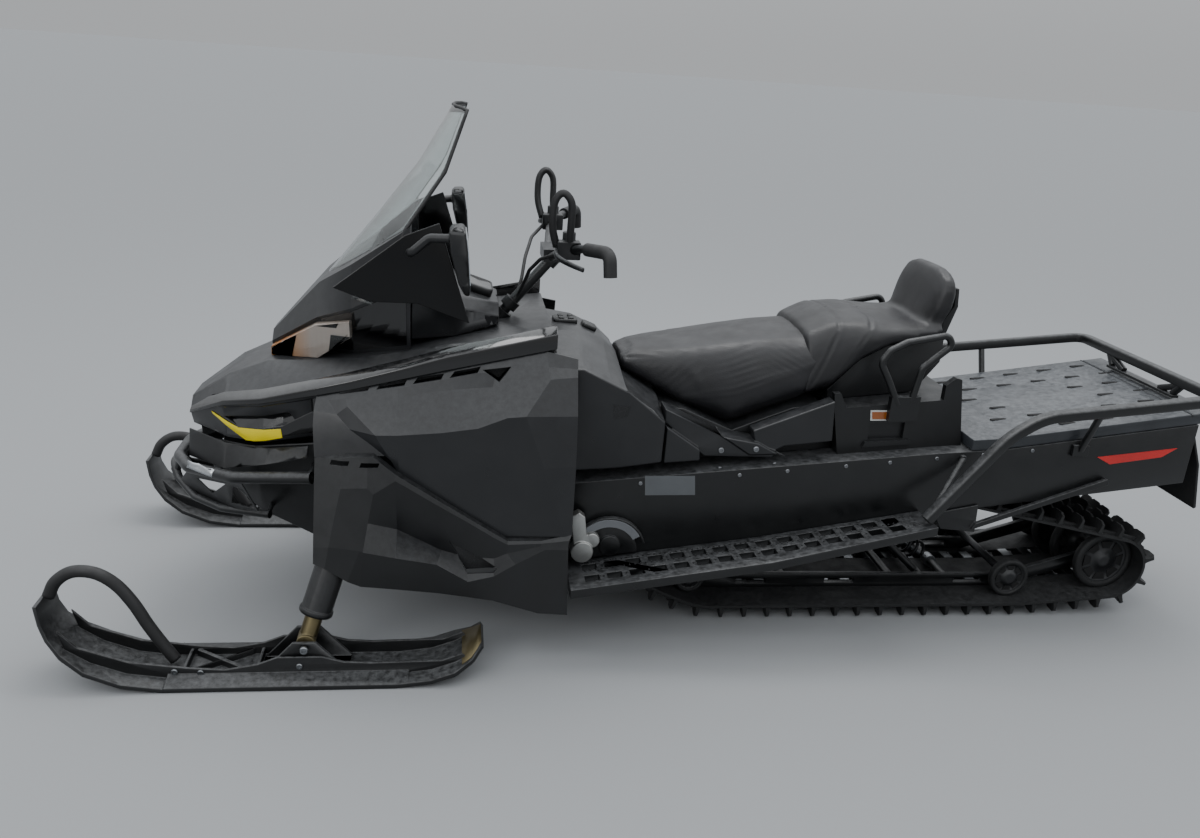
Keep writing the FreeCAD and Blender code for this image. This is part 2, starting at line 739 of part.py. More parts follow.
def on_post(distance):
    return post_foot + post_dir * distance


hood_blank = stations("hood_blank", "hood", half_outline)
hood_inner = stations("hood_inner", "hood", lambda c: half_outline(c, " - intake_deep"))
hood_outer = stations("hood_outer", "hood", lambda c: half_outline(c, " + accent_thick"))
bore = doc.addObject("Part::Cylinder", "bearing_bore")
bore.setExpression("Radius", bound("post_rad + collar_wall + seat_gap"))
bore.setExpression("Height", bound("collar_long + 60"))
bore.Placement = FreeCAD.Placement(on_post(-60), FreeCAD.Rotation(V3(0, 0, 1), post_dir))

# Intake recesses in the hood's flanks, and the yellow accents that frame them below
intake_sides = [(1243, 592), (1060, 640), (1048, 618), (1106, 594), (1206, 574)]
accent_sides = [(1283, 598), (1205, 569), (1086, 588), (1084, 560), (1183, 531), (1279, 590)]
window = plain("intake_window", prism(intake_sides, -400, 400))
recess = joined("Part::Cut", "intake_recess", window, hood_inner)
bored = joined("Part::Cut", "hood_bored", hood_blank, bore)
keep("hood", joined("Part::Cut", "hood", bored, recess))
stripe = joined("Part::Common", "stripe", plain("stripe_window", prism(accent_sides, -400, 400)), hood_outer)
keep("hood_accents", joined("Part::Cut", "hood_accents", stripe, hood_blank))

# Gloss blades along the hood's edges, growing towards the seat
body = new_body("blade_blank")
rows = []
for number, rise in enumerate((3, 8, 12, 16, 20, 26, 32, 36), 1):
    place, edge, half = (cell("hood", column, number) for column in ("x", "edge", "edgehalf"))
    rows.append(sketch(body, "YZ_Plane", [
        (half + " - 30", edge + " - 4"), (half + " + blade_out", edge + " - 4"),
        (half + " + blade_out - 2", edge + " + %d" % rise), (half + " - 30", edge + " + %d + 16" % rise)],
        place))
loft(body, rows)
blade_cut = joined("Part::Cut", "blade_cut", body, hood_blank)
pair_of("hood_blades", blade_cut)

# Cowl under the windshield, with the recess for the gauge
body = stations("cowl", "cowl", half_outline)
pocket(body, sketch(body, "XZ_Plane", [
    ("hood_x6 - 10", "cowl_edge3"), ("hood_x6 + 90", "cowl_edge3 + 20"),
    ("hood_x6 + 120", "cowl_top4 + 40"), ("hood_x6 - 10", "cowl_top4 + 40")]), "2 * (cowl_tophalf3 - 14)")
keep("cowl", body)

# Dash behind the cowl, open round the steering post
body = stations("dash_blank", "dash", lambda c: both_halves([
    (c("lowhalf"), c("low")), (c("lowhalf") + " + 4", c("top") + " - 30"), (c("tophalf"), c("top"))]))
room = plain("post_opening", cylinder(val("post_room"), on_post(-90), on_post(220)))
dash = joined("Part::Cut", "dash_open", body, room)
keep("dash", joined("Part::Cut", "dash", dash, hood_blank))

# Headlamps, seated on the cowl
lamp = stations("lamp_blank", "lamp", lambda c: [
    (c("in_low"), c("low")), (c("out_low"), c("low")), (c("out_top"), c("top")), (c("in_top"), c("top"))])
pair = doc.addObject("Part::Compound", "lamp_pair")
pair.Links = [lamp, mirrored("lamp_right", lamp)]
keep("headlamps", joined("Part::Cut", "headlamps", pair, nodes["cowl"]))


# Side skins: the outer corners from top to low, and the inner ones back up
def skin_outline(c):
    names = ("top", "strip", "crease", "mid", "low") if "panel" in c("x") else (
        "top", "crease", "mid", "shelf", "low")
    outer = [(c(n + "y"), c(n)) for n in names]
    inner = [(c(n + "y") + " - skin", c(n)) for n in reversed(names)]
    inner[-1] = (outer[0][0] + " - 2", outer[0][1] + " - 2")
    return outer + inner


panel = stations("panel_blank", "panel", skin_outline)
fairing = stations("fairing_blank", "fairing", skin_outline)

# Louvres and the rear vent through the panel's upper strip
louvres = []
for number in range(4):
    x = 925 - number * 92
    z = 719 + number * 20
    louvres.append(prism([(x, z - 9), (x - 70, z + 6), (x - 78, z + 20), (x - 12, z + 6)], 250, 480))
louvres.append(prism([(566, 792), (494, 802), (524, 766)], 250, 480))
pair_of("side_panels", joined("Part::Cut", "panel_cut", panel, plain("louvres", Part.Compound(louvres))))

# Ski leg axis, from the ski bolt up to the strut top
ski_y = val("ski_stance / 2")
leg_foot = V3(val("ski_pivot_x"), ski_y, val("ski_pivot_z"))
leg_top = V3(val("leg_top_x"), val("leg_top_y"), val("leg_top_z"))
leg_line = (leg_top - leg_foot).normalize()


def on_leg(z):
    """The point of the leg's axis at a height."""
    return leg_foot + leg_line * ((z - leg_foot.z) / leg_line.z)


# Openings of the lower fairing: the strut's hole, two slots and the foot vent
holes = [cylinder(val("boot_rad + seam"), on_leg(141), on_leg(540))]
for x in (921, 846):
    holes.append(prism([(x + 24, 548), (x - 22, 550), (x - 26, 562), (x + 20, 560)], 330, 480))
holes.append(prism([(645, 345), (594, 262), (526, 266), (516, 278)], 400, 500))
pair_of("lower_fairings", joined("Part::Cut", "fairing_cut", fairing, plain("fairing_holes", Part.Compound(holes))))

# Belly pan, an open trough under the engine
keep("belly_pan", stations("belly_pan", "pan", lambda c: [
    (c("tophalf"), c("top")), (c("lowhalf"), c("low")), ("-" + c("lowhalf"), c("low")),
    ("-" + c("tophalf"), c("top")), ("-" + c("tophalf") + " + skin / 2", c("top")),
    ("-" + c("lowhalf") + " + skin / 2", c("low") + " + skin / 2"),
    (c("lowhalf") + " - skin / 2", c("low") + " + skin / 2"),
    (c("tophalf") + " - skin / 2", c("top"))]))

# Fascia: a sloping shelf on each side between the hood's lower edge and the bumper
fascia = stations("fascia_blank", "fascia", lambda c: [
    (c("topy"), c("top")), (c("lowy"), c("low")), (c("lowy") + " - fascia_skin", c("low") + " - 3"),
    (c("topy") + " - fascia_skin", c("top") + " - 3")])
pair_of("nose_fascia", joined("Part::Cut", "fascia_cut", fascia, nodes["belly_pan"]))

# Rear cover over the tank, between the side panels and the seat
keep("rear_cover", stations("rear_cover", "cover", lambda c: both_halves([
    (c("lowhalf"), c("low")), (c("midhalf"), c("mid")), (c("tophalf"), c("top"))])))

# Windshield: a bowed sheet whose lower edge follows the cowl
body = new_body("windshield")
rows = []
for n in range(1, count_of["shield"] + 1):
    side, mid, centre, sidey, midy = (cell("shield", k, n) for k in ("side", "mid", "centre", "sidey", "midy"))
    front = [(side, "-" + sidey), (mid, "-" + midy), (centre, "0"), (mid, midy), (side, sidey)]
    back = [(a + " - shield_thick", b) for a, b in reversed(front)]
    rows.append(sketch(body, "XY_Plane", front + back, cell("shield", "z", n)))
loft(body, rows)
foot = [("shield_foot_x + 94", "shield_foot_z - 94 * shield_foot_slope"),
        ("shield_foot_x - 260", "shield_foot_z + 260 * shield_foot_slope"),
        ("shield_foot_x - 395", "shield_foot_z + 260 * shield_foot_slope"),
        ("shield_foot_x - 395", "shield_foot_z - 188"), ("shield_foot_x + 94", "shield_foot_z - 188")]
pocket(body, sketch(body, "XZ_Plane", foot), "4 * tunnel_half")
keep("windshield", body)

# Wind deflectors beside the windshield's foot
side_y = val("cowl_edgehalf4 + seat_gap")
deflector_y = side_y + val("deflector_thick")
deflector = prism([(851, 949), (940, 982), (764, 1119), (681, 1152), (602, 902), (733, 949)], side_y, deflector_y)
keep("wind_deflectors", plain("wind_deflectors", both_sides(deflector)))

# Mirrors: tapered housings on arms from the deflectors
body = new_body("mirror_shell")
rows = []
for n in range(1, count_of["mirror"] + 1):
    front, rear, near, far = (cell("mirror", k, n) for k in ("front", "rear", "in_y", "out_y"))
    rows.append(sketch(body, "XY_Plane", [
        (front, near + " + 12"), (front, far + " - 12"), (rear, far), (rear, near)], cell("mirror", "z", n)))
loft(body, rows)
doc.recompute()
arm = tube([(752, deflector_y + 0.6, 1078), (748, side_y + 40, 1082), (704, 346, 1122), (645, 366, 1126)], 11, 24)
keep("mirrors", plain("mirrors", both_sides(body.Shape.fuse(arm).cut(deflector))))


# Seats: crowned cushions lofted along the machine and parted by one leaning joint
def cushion_outline(c):
    return both_halves([(c("lowhalf"), c("low")), (c("midhalf"), c("mid")),
                        (c("highhalf"), c("high")), (c("tophalf"), c("top"))])


def joint_side(shift):
    """A long wedge behind the seats' joint plane, moved forward by a shift."""
    x0, z0, slope = val("seat_joint_x") + shift, val("seat_joint_z"), val("seat_joint_lean")
    low, high = z0 - 300, z0 + 400
    return [(x0 + 300 * slope, low), (x0 - 400 * slope, high)]


front_edge, rear_edge = joint_side(gap), joint_side(-gap)
behind = prism(front_edge + [(-1200, front_edge[1][1]), (-1200, front_edge[0][1])], -300, 300)
ahead = prism(rear_edge + [(400, rear_edge[1][1]), (400, rear_edge[0][1])], -300, 300)
driver = stations("seat_blank", "seat", cushion_outline)
keep("driver_seat", joined("Part::Cut", "driver_seat", driver, plain("seat_behind", behind)))
rider = stations("pillion_blank", "pillion", cushion_outline)
keep("passenger_seat", joined("Part::Cut", "passenger_seat", rider, plain("seat_ahead", ahead)))

# Backrest cushion and its rear shell
keep("backrest", stations("backrest", "back", lambda c: [
    (c("front"), "-(%s - %s)" % (c("half"), c("corner"))), (c("front"), "%s - %s" % (c("half"), c("corner"))),
    (c("front") + " - 14", c("half")), (c("rear") + " + 12", c("half")),
    (c("rear"), "%s - %s" % (c("half"), c("corner"))), (c("rear"), "-(%s - %s)" % (c("half"), c("corner"))),
    (c("rear") + " + 12", "-" + c("half")), (c("front") + " - 14", "-" + c("half"))], "XY_Plane", "z"))
body = new_body("backrest_shell")
shell_line = [("back_rear%d - seat_gap" % n, "back_z%d" % n) for n in (1, 2, 3)]
pad(body, sketch(body, "XZ_Plane", shell_line + [
    ("back_rear3 - 12", "back_z3"), ("back_rear2 - 14", "back_z2"), ("back_rear1 - 22", "back_z1 - 20"),
    ("back_rear1 - 16", "pillion_low5 - 8"), ("back_rear1 - seat_gap", "pillion_low5 - 8")]),
    "2 * (back_half - 44)")
keep("backrest_shell", body)

# Bases under the two seats
body = new_body("seat_base")
pad(body, sketch(body, "XZ_Plane", [
    ("cover_x6 - seat_gap", tunnel_top("cover_x6 - seat_gap", 2)), ("cover_x6 - seat_gap", "650"),
    ("seat_x2 + 1", "seat_low2 - 2"), ("seat_x3", "seat_low3 - 1"), ("seat_x4", "seat_low4 - 2"),
    ("-330", "654"), ("-420", "box_front_top - 10"),
    ("-461", tunnel_top("-461", 3)), ("side_x3", tunnel_top("side_x3", 3))]), "2 * (base_half - 40)")
keep("seat_base", body)

body = new_body("pillion_base")
pad(body, sketch(body, "XZ_Plane", [
    ("pillion_x2 - 10", "box_front_top + seat_gap"), ("pillion_x2 - 6", "pillion_low2 + 1"),
    ("pillion_x3", "pillion_low3 - 1"), ("pillion_x4", "pillion_low4 - 1"), ("pillion_x5 + 2", "pillion_low5 - 1"),
    ("pillion_x5 + 2", "box_rear_top + 90"), ("-700", "box_rear_top + seat_gap - 3"),
    ("-470", "box_front_top + seat_gap")]), "2 * pillion_base_half")
keep("pillion_base", body)

# Storage box: a tub with raised corner posts, a latch recess and a sill on each side
doc.recompute()
box_half = val("box_half")
deck_top = val(tunnel_top("-461", 3))
tub = [(-461, deck_top), (-432, val("box_front_top")), (-470, val("box_front_top")),
       (-757, val("box_rear_top")), (-812, val("box_rear_top") + 3), (-836, val(tunnel_top("-836", 4))),
       (val("side_x4"), val(tunnel_top("side_x4", 4)))]
shapes = [prism(tub, -box_half, box_half)]
posts = ([(-434, 665), (-427, 714), (-447, 714), (-472, 665)],
         [(-757, 695), (-757, 745), (-785, 768), (-802, 764), (-814, 695)])
for post in posts:
    for y0, y1 in ((212, box_half), (-box_half, -212)):
        shapes.append(prism(post, y0, y1))
tub_shape = fused(shapes)
for side in (1, -1):
    ys = sorted((side * (box_half - 14), side * (box_half + 1)))
    tub_shape = tub_shape.cut(prism([(-546, 577), (-546, 628), (-652, 632), (-652, 582)], ys[0], ys[1]))
    ys = sorted((side * (box_half - 4), side * (box_half + 9)))
    tub_shape = tub_shape.fuse(prism([(-530, 556), (-536, 572), (-672, 580), (-678, 568)], ys[0], ys[1]))
keep("storage_box", plain("storage_box", tub_shape))

# Side trims between the tank and the box: wedge, bracket bar, plate and pouch, on each side
base_y = val("base_half - 40") + gap
trim_line = fused([prism(outline, y0, y1) for outline, y0, y1 in (
    ([(58, 515), (58, 622), (-42, 556), (-44, 524)], base_y, 282),
    ([(62, 628), (62, 668), (-106, 590), (-232, 560), (-270, 547), (-258, 528), (-60, 530)], base_y, 262),
    ([(-107, 590), (-211, 573), (-274, 541), (-190, 537)], base_y, 268),
    ([(-196, 606), (-424, 698), (-432, 578), (-292, 561), (-262, 545), (-205, 570)], 206.5, 256))])
keep("side_trims", plain("side_trims", both_sides(trim_line)))

# Grab handles beside the passenger seat, bolted to the box's sides
y = box_half + gap + 13
handle_line = [(-612, 690), (-572, 765), (-543, 812), (-566, 848), (-612, 873), (-728, 897), (-745, 868),
               (-668, 800), (-652, 700)]
handle = tube([(a, y, b) for a, b in handle_line], 10, 24)
handle = handle.fuse(prism([(-590, 640), (-590, 712), (-676, 716), (-676, 645)], box_half + gap, y + 8))
keep("grab_handles", plain("grab_handles", both_sides(handle)))

# Rear deck on the tunnel's top, with rows of drain slots
x0, x1 = val("deck_front_x"), val("deck_rear_x")
tunnel_tops = [(val(cell("side", "x", n)), val(cell("side", "top", n))) for n in (4, 5, 6)]


def deck_z(x):
    """Height of the tunnel's top at a place along it, carried on beyond its rear end."""
    (xa, za), (xb, zb), (xc, zc) = tunnel_tops
    if x > xb:
        return za + (zb - za) * (x - xa) / (xb - xa)
    return zb + (zc - zb) * (x - xb) / (xc - xb)


thick = val("deck_thick")
stops = [x0, tunnel_tops[1][0], x1]
deck = prism([(x, deck_z(x) + gap) for x in stops] + [(x, deck_z(x) + thick) for x in reversed(stops)],
             -val("deck_half"), val("deck_half"))
drains = []
for row in range(5):
    for column in range(6):
        x = x0 - 130 - row * 118 - (column % 2) * 46
        y = (column - 2.5) * 92
        if abs(y) < 60 and row in (1, 2):
            continue
        drains.append(box(x - 44, x, y - 5, y + 5, deck_z(x) + thick - 12, deck_z(x) + thick + 20))
groove_x, groove_z = x1 + 72, deck_z(x1 + 72) + thick
drains.append(box(groove_x - 3, groove_x + 3, -400, 400, groove_z - 2.5, groove_z + 20))
keep("cargo_deck", plain("cargo_deck", deck.cut(Part.Compound(drains))))

# Rack hoop, bent from one tube, with side stays, and the bracket under its rear bar
rack_y = val("rack_y")
board_top = val("side_low4 - 2 + board_thick / 2 + 8")
near = [(-684, rack_y + 40, board_top + 6), (-905, rack_y, 635), (-1000, rack_y, 697), (-1542, rack_y - 9, 758)]
hoop = tube(across(near), val("rack_rad"), 66)
side_reach = val("tunnel_half") + gap
stays = []
for side in (1, -1):
    pad_y = sorted((side * side_reach, side * (side_reach + 12)))
    stays.append(box(-1200, -1150, pad_y[0], pad_y[1], 560, 594))
    stays.append(cylinder(9, (-1175, side * (side_reach + 9), 577), (-1175, side * (rack_y - 3), 716)))
    stays.append(cylinder(9, (-815, side * side_reach, 548), (-815, side * (side_reach + 16), 548)))
    stays.append(cylinder(8, (-815, side * (side_reach + 12), 548), (-690, side * 396, board_top + 8)))
    stays.append(cylinder(8, (-690, side * 396, board_top + 4), (-684, side * 397, board_top + 16)))
deck_rear_z = deck_z(-1552) + thick + gap
for side in (1, -1):
    stays.append(cylinder(8, (-1540, side * 150, deck_rear_z + 4), (-1542, side * 178, 750)))
stays.append(box(-1552, -1528, -165, 165, deck_rear_z, deck_rear_z + 7))
keep("rack_hoop", plain("rack_hoop", fused([hoop] + stays)))

# Rear gussets and braces on the tunnel's sides
gusset = prism([(-760, 372), (-895, 400), (-900, 312), (-790, 322)], side_reach, side_reach + 6)
brace = prism([(-880, 326), (-890, 346), (-1278, 492), (-1286, 474)], side_reach + 6, side_reach + 20)
end = cylinder(9, (-1275, side_reach, 480), (-1275, side_reach + 12, 480))
keep("rear_braces", plain("rear_braces", both_sides(fused([gusset, brace, end]))))

# Snow flap, tail lamp and hitch
flap_x = val("side_x6") - gap
rear_end = -val("half_length")
flap = prism([(flap_x, 658), (flap_x - 8, 658), (rear_end + 30, 520), (rear_end, 378), (rear_end + 8, 374),
              (rear_end + 38, 520)], -val("flap_half"), val("flap_half"))
keep("snow_flap", plain("snow_flap", flap))
keep("tail_lamp", plain("tail_lamp", box(x1 - 9 - gap, x1 - gap, -103, 103, deck_z(x1) + 6, deck_z(x1) + 30)))
hitch = fused([box(-1600, -1466, -38, 38, 442, 470), box(-1495, -1466, -38, 38, 460, 500),
               cylinder(12, (-1480, -wall_reach, 500), (-1480, wall_reach, 500))])
keep("hitch", plain("hitch", hitch.cut(cylinder(9, (-1578, 0, 430), (-1578, 0, 480)))))


def pan_side(x, z):
    """Half width of the belly pan's side at a place along it and a height."""
    for a, b in zip(rows_of("pan"), rows_of("pan")[1:]):
        if b[0] <= x <= a[0]:
            part = (x - a[0]) / (b[0] - a[0])
            low, lowhalf, top, tophalf = [p + (q - p) * part for p, q in zip(a[1:], b[1:])]
            return lowhalf + (tophalf - lowhalf) * (z - low) / (top - low)
    return 0.0


# Bumper: an upper hoop, a lower skid hoop that rises to meet it, and uprights between them
upper = [(998, 345, 488), (1210, 270, 454), (1352, 152, 434), (1398, 66, 432)]
lower = [(1128, 232, 330), (1267, 170, 320), (1350, 116, 330), (1404, 62, 364), (1424, 30, 398)]
bumper = [tube(across(upper), val("bumper_rad"), 56), tube(across(lower), val("guard_rad"), 40)]
for side in (1, -1):
    bumper.append(cylinder(9, (1412, side * 44, 378), (1396, side * 64, 430)))
    bumper.append(cylinder(8, (1004, side * 344, 487), (1004, side * (pan_side(1004, 487) + 1.2), 487)))
    bumper.append(cylinder(7, (1134, side * 228, 330), (1134, side * (pan_side(1134, 330) + 1.6), 330)))
keep("front_bumper", plain("front_bumper", fused(bumper)))


def leaning_plate(corners, spots, thick):
    """A flat plate on the plane y = a + b x + c z through three spots, outlined in x and z."""
    (xa, ya, za), (xb, yb, zb), (xc, yc, zc) = spots
    det = (xb - xa) * (zc - za) - (xc - xa) * (zb - za)
    b = ((yb - ya) * (zc - za) - (yc - ya) * (zb - za)) / det
    c = ((xb - xa) * (yc - ya) - (xc - xa) * (yb - ya)) / det
    ring = [V3(x, ya + b * (x - xa) + c * (z - za), z) for x, z in corners]
    return Part.Face(Part.makePolygon(ring + ring[:1])).extrude(V3(0, thick, 0))


# Nose guard: moulded side plates between the two hoops, each with two openings
spots = [(1352, 144, 426), (1210, 262, 448), (1267, 160, 326)]
guard = leaning_plate([(1354, 426), (1190, 450), (1150, 356), (1262, 324), (1348, 336), (1392, 372)], spots, 6)
for hole in ([(1330, 402), (1240, 418), (1290, 362)], [(1216, 418), (1186, 424), (1160, 360), (1232, 352)]):
    guard = guard.cut(leaning_plate(hole, spots, 6.5).translated(V3(0, -0.2, 0)))
guard = guard.cut(nodes["front_bumper"].Shape).cut(nodes["belly_pan"].Shape)
keep("nose_guard", plain("nose_guard", both_sides(guard)))

# Engine block on two cradle rails
cradle_z = val("pan_low3 + skin / 2 + seat_gap")
cradle_x = val("side_x1 + seat_gap")
cradle = [box(cradle_x, 990, y - 15, y + 15, cradle_z, cradle_z + val("cradle_tall")) for y in (-169, 169)]
cradle.append(box(cradle_x, cradle_x + 30, -226, 226, cradle_z, cradle_z + val("cradle_tall")))
keep("engine_cradle", plain("engine_cradle", fused(cradle)))
engine = doc.addObject("Part::Box", "engine_block")
engine.setExpression("Length", bound("engine_long"))
engine.setExpression("Width", bound("engine_wide"))
engine.setExpression("Height", bound("engine_tall"))
engine.setExpression(".Placement.Base.x", bound("engine_x - engine_long / 2"))
engine.setExpression(".Placement.Base.y", bound("-engine_wide / 2"))
engine.setExpression(".Placement.Base.z", bound("pan_low3 + skin / 2 + 2 * seat_gap + cradle_tall"))
keep("engine_block", engine)

# Drive cover with its guard on the left side of the tunnel, and the cast brake beside it
cover = cylinder(80, (axle_x, side_reach, axle_z - 20), (axle_x, side_reach + 14, axle_z - 20))
cover = cover.fuse(cylinder(30, (axle_x, side_reach, axle_z), (axle_x, side_reach + 24, axle_z)))
arc = cylinder(104, (axle_x, side_reach, axle_z - 20), (axle_x, side_reach + 20, axle_z - 20))
arc = arc.cut(cylinder(96, (axle_x, 0, axle_z - 20), (axle_x, 400, axle_z - 20)))
arc = arc.cut(box(axle_x - 200, axle_x + 200, 200, 400, 0, axle_z + 6))
web = box(axle_x - 8, axle_x + 8, side_reach, side_reach + 12, axle_z + 40, axle_z + 80)
rise = val("board_thick / 2 + 8") + gap
board_room = prism([(val("fairing_x11"), 0), (val("fairing_x11"), val("side_low1 + 10") + rise),
                    (val("side_x3"), val("side_low3") + rise), (val("side_x3"), 0)], 200, 600)
keep("drive_cover", plain("drive_cover", fused([cover, arc, web]).cut(board_room)))
caliper = fused([
    cylinder(31, (278, side_reach, 268), (278, side_reach + 52, 268)),
    cylinder(22, (252, side_reach, 300), (252, side_reach + 44, 300)),
    prism([(262, 286), (300, 280), (316, 372), (292, 386), (274, 372)], side_reach + 14, side_reach + 44)])
caliper = caliper.cut(fused([cover, arc, web])).cut(board_room)
keep("brake_caliper", plain("brake_caliper", caliper))

# Strut housings, their lips and their mounts on the pan
housing = cylinder(val("boot_rad"), on_leg(val("boot_low_z")), on_leg(451))
lip = cylinder(val("boot_rad") + 4, on_leg(val("boot_low_z") + 4), on_leg(val("boot_low_z") + 16))
mount = on_leg(420)
mount_y = pan_side(mount.x, mount.z + 14) + 0.8
stud = cylinder(14, (mount.x, mount.y - 30, mount.z), (mount.x, mount_y, mount.z))
housing = fused([housing, lip]).cut(cylinder(val("leg_rad") + val("run_fit"), on_leg(94), on_leg(442)))
keep("struts", plain("struts", both_sides(housing.fuse(stud))))

# Legs with a forked foot, skis and their lifting handles, left and then mirrored
x, y, z = leg_foot
bolt_hole = cylinder(val("bolt_rad + run_fit"), (x, y - 56, z), (x, y + 56, z))
eye = cylinder(24, (x, y - 26, z), (x, y + 26, z))
leg = fused([cylinder(val("leg_rad"), on_leg(z + 14), on_leg(423)), eye]).cut(bolt_hole)

tip_x, tip_z, tail_x, thick = val("half_length"), val("ski_tip_z"), val("ski_tail_x"), val("ski_thick")
bow_low = [(tip_x - back, up) for back, up in ((295, 0), (200, 14), (115, 47), (57, 86), (24, 126), (8, 166))]
bow_top = [(tip_x - back, up) for back, up in ((19, 172), (34, 133), (65, 97), (120, 59), (203, 26))]
sole = [(tail_x, 88), (571, 58), (616, 33), (680, 11), (770, 0)] + bow_low + [(tip_x, tip_z)]
top_side = [(tip_x - 12, tip_z + 4)] + bow_top + [
    (tip_x - 297, thick), (772, thick), (683, 11 + thick), (621, 45), (579, 68), (tail_x + 8, 97)]
half, wall, channel = val("ski_half"), val("ski_wall"), val("ski_channel")
wall_foot = [(590, 56), (618, 39), (683, 15), (772, 6)]
wall_foot += [(tip_x - back, up) for back, up in ((297, 6), (203, 20), (120, 53), (64, 92))]
wall_top = [(tip_x - back, up) for back, up in ((48, 150), (92, 102), (210, 58), (356, 38), (440, 32))]
wall_top += [(x + 117, 46), (x + 67, 66), (x - 43, 66), (906, 50), (840, 46), (735, 48), (655, 50), (604, 70)]
saddle = [(x - 113, thick - 2), (x - 30, z + 14), (x + 30, z + 14), (x + 113, thick - 2)]
shapes = [prism(sole + top_side, y - half, y + half)]
for edge in (y - channel - wall, y + channel):
    shapes.append(prism(wall_foot + wall_top, edge, edge + wall))
for side in (-1, 1):
    skirt = [V3(740, y + side * across_y, across_z) for across_y, across_z in
             ((half, thick - 2), (half, thick + 1), (half - 30, thick + 9), (channel + 4, thick + 12),
              (channel + 4, thick - 2))]
    shapes.append(Part.Face(Part.makePolygon(skirt + skirt[:1])).extrude(V3(tip_x - 1040, 0, 0)))
for edge in (y - 45, y + 35):
    shapes.append(prism(saddle, edge, edge + 10))
web_front, web_rear = tip_x - 340, tip_x - 520
for end_a, end_b in ((-1, 1), (1, -1)):
    rib = [V3(a, y + b, thick - 2) for a, b in (
        (web_rear + 22, end_a * channel - 4), (web_rear + 30, end_a * channel + 4),
        (web_front - 8, end_b * channel + 4), (web_front - 16, end_b * channel - 4))]
    shapes.append(Part.Face(Part.makePolygon(rib + rib[:1])).extrude(V3(0, 0, 20)))
for x_rib in (web_rear, web_front):
    shapes.append(box(x_rib, x_rib + 8, y - channel - 2, y + channel + 2, thick - 2, thick + 18))
half_plan = [(tail_x - 5, 50), (576, 82), (622, half), (tip_x - 200, half), (tip_x - 115, half - 5),
             (tip_x - 60, 84), (tip_x - 15, 62), (tip_x + 5, 50)]
plan = [(a, y - b) for a, b in half_plan] + [(a, y + b) for a, b in reversed(half_plan)]
ring = [V3(a, b, -20) for a, b in plan]
plan_block = Part.Face(Part.makePolygon(ring + ring[:1])).extrude(V3(0, 0, 400))
ski = fused(shapes).common(plan_block)
ski = ski.fuse(cylinder(val("bolt_rad"), (x, y - 54, z), (x, y + 54, z)))
loop_line = [(tip_x - back, up) for back, up in (
    (308, 30), (256, 112), (200, 226), (140, 282), (74, 286), (28, 240), (18, 214))]
handle = tube([(a, y, b) for a, b in loop_line], val("handle_rad"), 40)
handle = handle.fuse(cylinder(9, (tip_x - 306, y - 44, 40), (tip_x - 306, y + 44, 40))).cut(ski)
for name, flip in (("left", False), ("right", True)):
    for label, shape in (("ski_leg_", leg), ("ski_", ski), ("ski_handle_", handle)):
        keep(label + name, plain(label + name, flipped(shape) if flip else shape))

# Steering post in its bearing, with a clamp for the cables near its foot
bearing = cylinder(val("post_rad + collar_wall"), on_post(-50), on_post(val("collar_long")))
bearing = bearing.cut(cylinder(val("post_rad + run_fit"), on_post(-56), on_post(60)))
keep("post_bearing", plain("post_bearing", bearing))
head = on_post(val("post_long"))
post = cylinder(val("post_rad"), on_post(-40), head)
block_low = on_post(val("collar_long") + 14)
post = post.fuse(cylinder(24, block_low, block_low + post_dir * 26))
keep("steering_post", plain("steering_post", post))

# Handlebar bent from one tube, with its clamp and riser plates
bar_line = [(266, 388, 1110), (322, 292, 1102), (head.x - 10, 196, 1076), (head.x + 4, 70, head.z + 20)]
bar = tube(across(bar_line), val("bar_rad"), 47)
clamp = fused([cylinder(24, head - post_dir * 14, head + post_dir * 30),
               box(head.x - 22, head.x + 26, -64, 64, head.z + 4, head.z + 38)])
keep("handlebar", plain("handlebar", bar.fuse(clamp).cut(post)))

# Grips with hooked ends, hand hooks, lever housings and brake lever
grip = tube([(312, 309, 1103.5), (266, 388, 1110), (262, 396, 1052)], val("grip_rad"), 24)
grip = grip.cut(nodes["handlebar"].Shape)
keep("handlebar_grips", plain("handlebar_grips", both_sides(grip)))
hook = tube([(384, 244, 1098), (398, 262, 1150), (396, 268, 1212), (376, 272, 1236), (354, 274, 1212),
             (352, 266, 1150), (352, 250, 1104)], 7, 18)
hook = hook.cut(nodes["handlebar"].Shape)
housing = fused([box(322, 384, 216, 262, 1066, 1112), cylinder(17, (352, 238, 1100), (352, 238, 1136))])
housing = housing.cut(nodes["handlebar"].Shape)
keep("bar_controls", plain("bar_controls", both_sides(housing)))
keep("hand_hooks", plain("hand_hooks", both_sides(hook.cut(housing))))

# Control cables from the lever housings down to the clamp on the post
inner_y = 18
lowest = block_low + post_dir * 26
cables = []
for side in (1, -1):
    path = [(382, side * 236, 1076), (418, side * 176, 1050), (440, side * 96, 1004),
            tuple(on_post(150) + V3(22, side * 40, 0)), tuple(on_post(104) + V3(4, side * inner_y, 0)),
            tuple(lowest + V3(0, side * inner_y, 0))]
    cables.append(tube(path, 5, 60).cut(housing if side > 0 else flipped(housing)).cut(post))
keep("control_cables", plain("control_cables", Part.Compound(cables)))

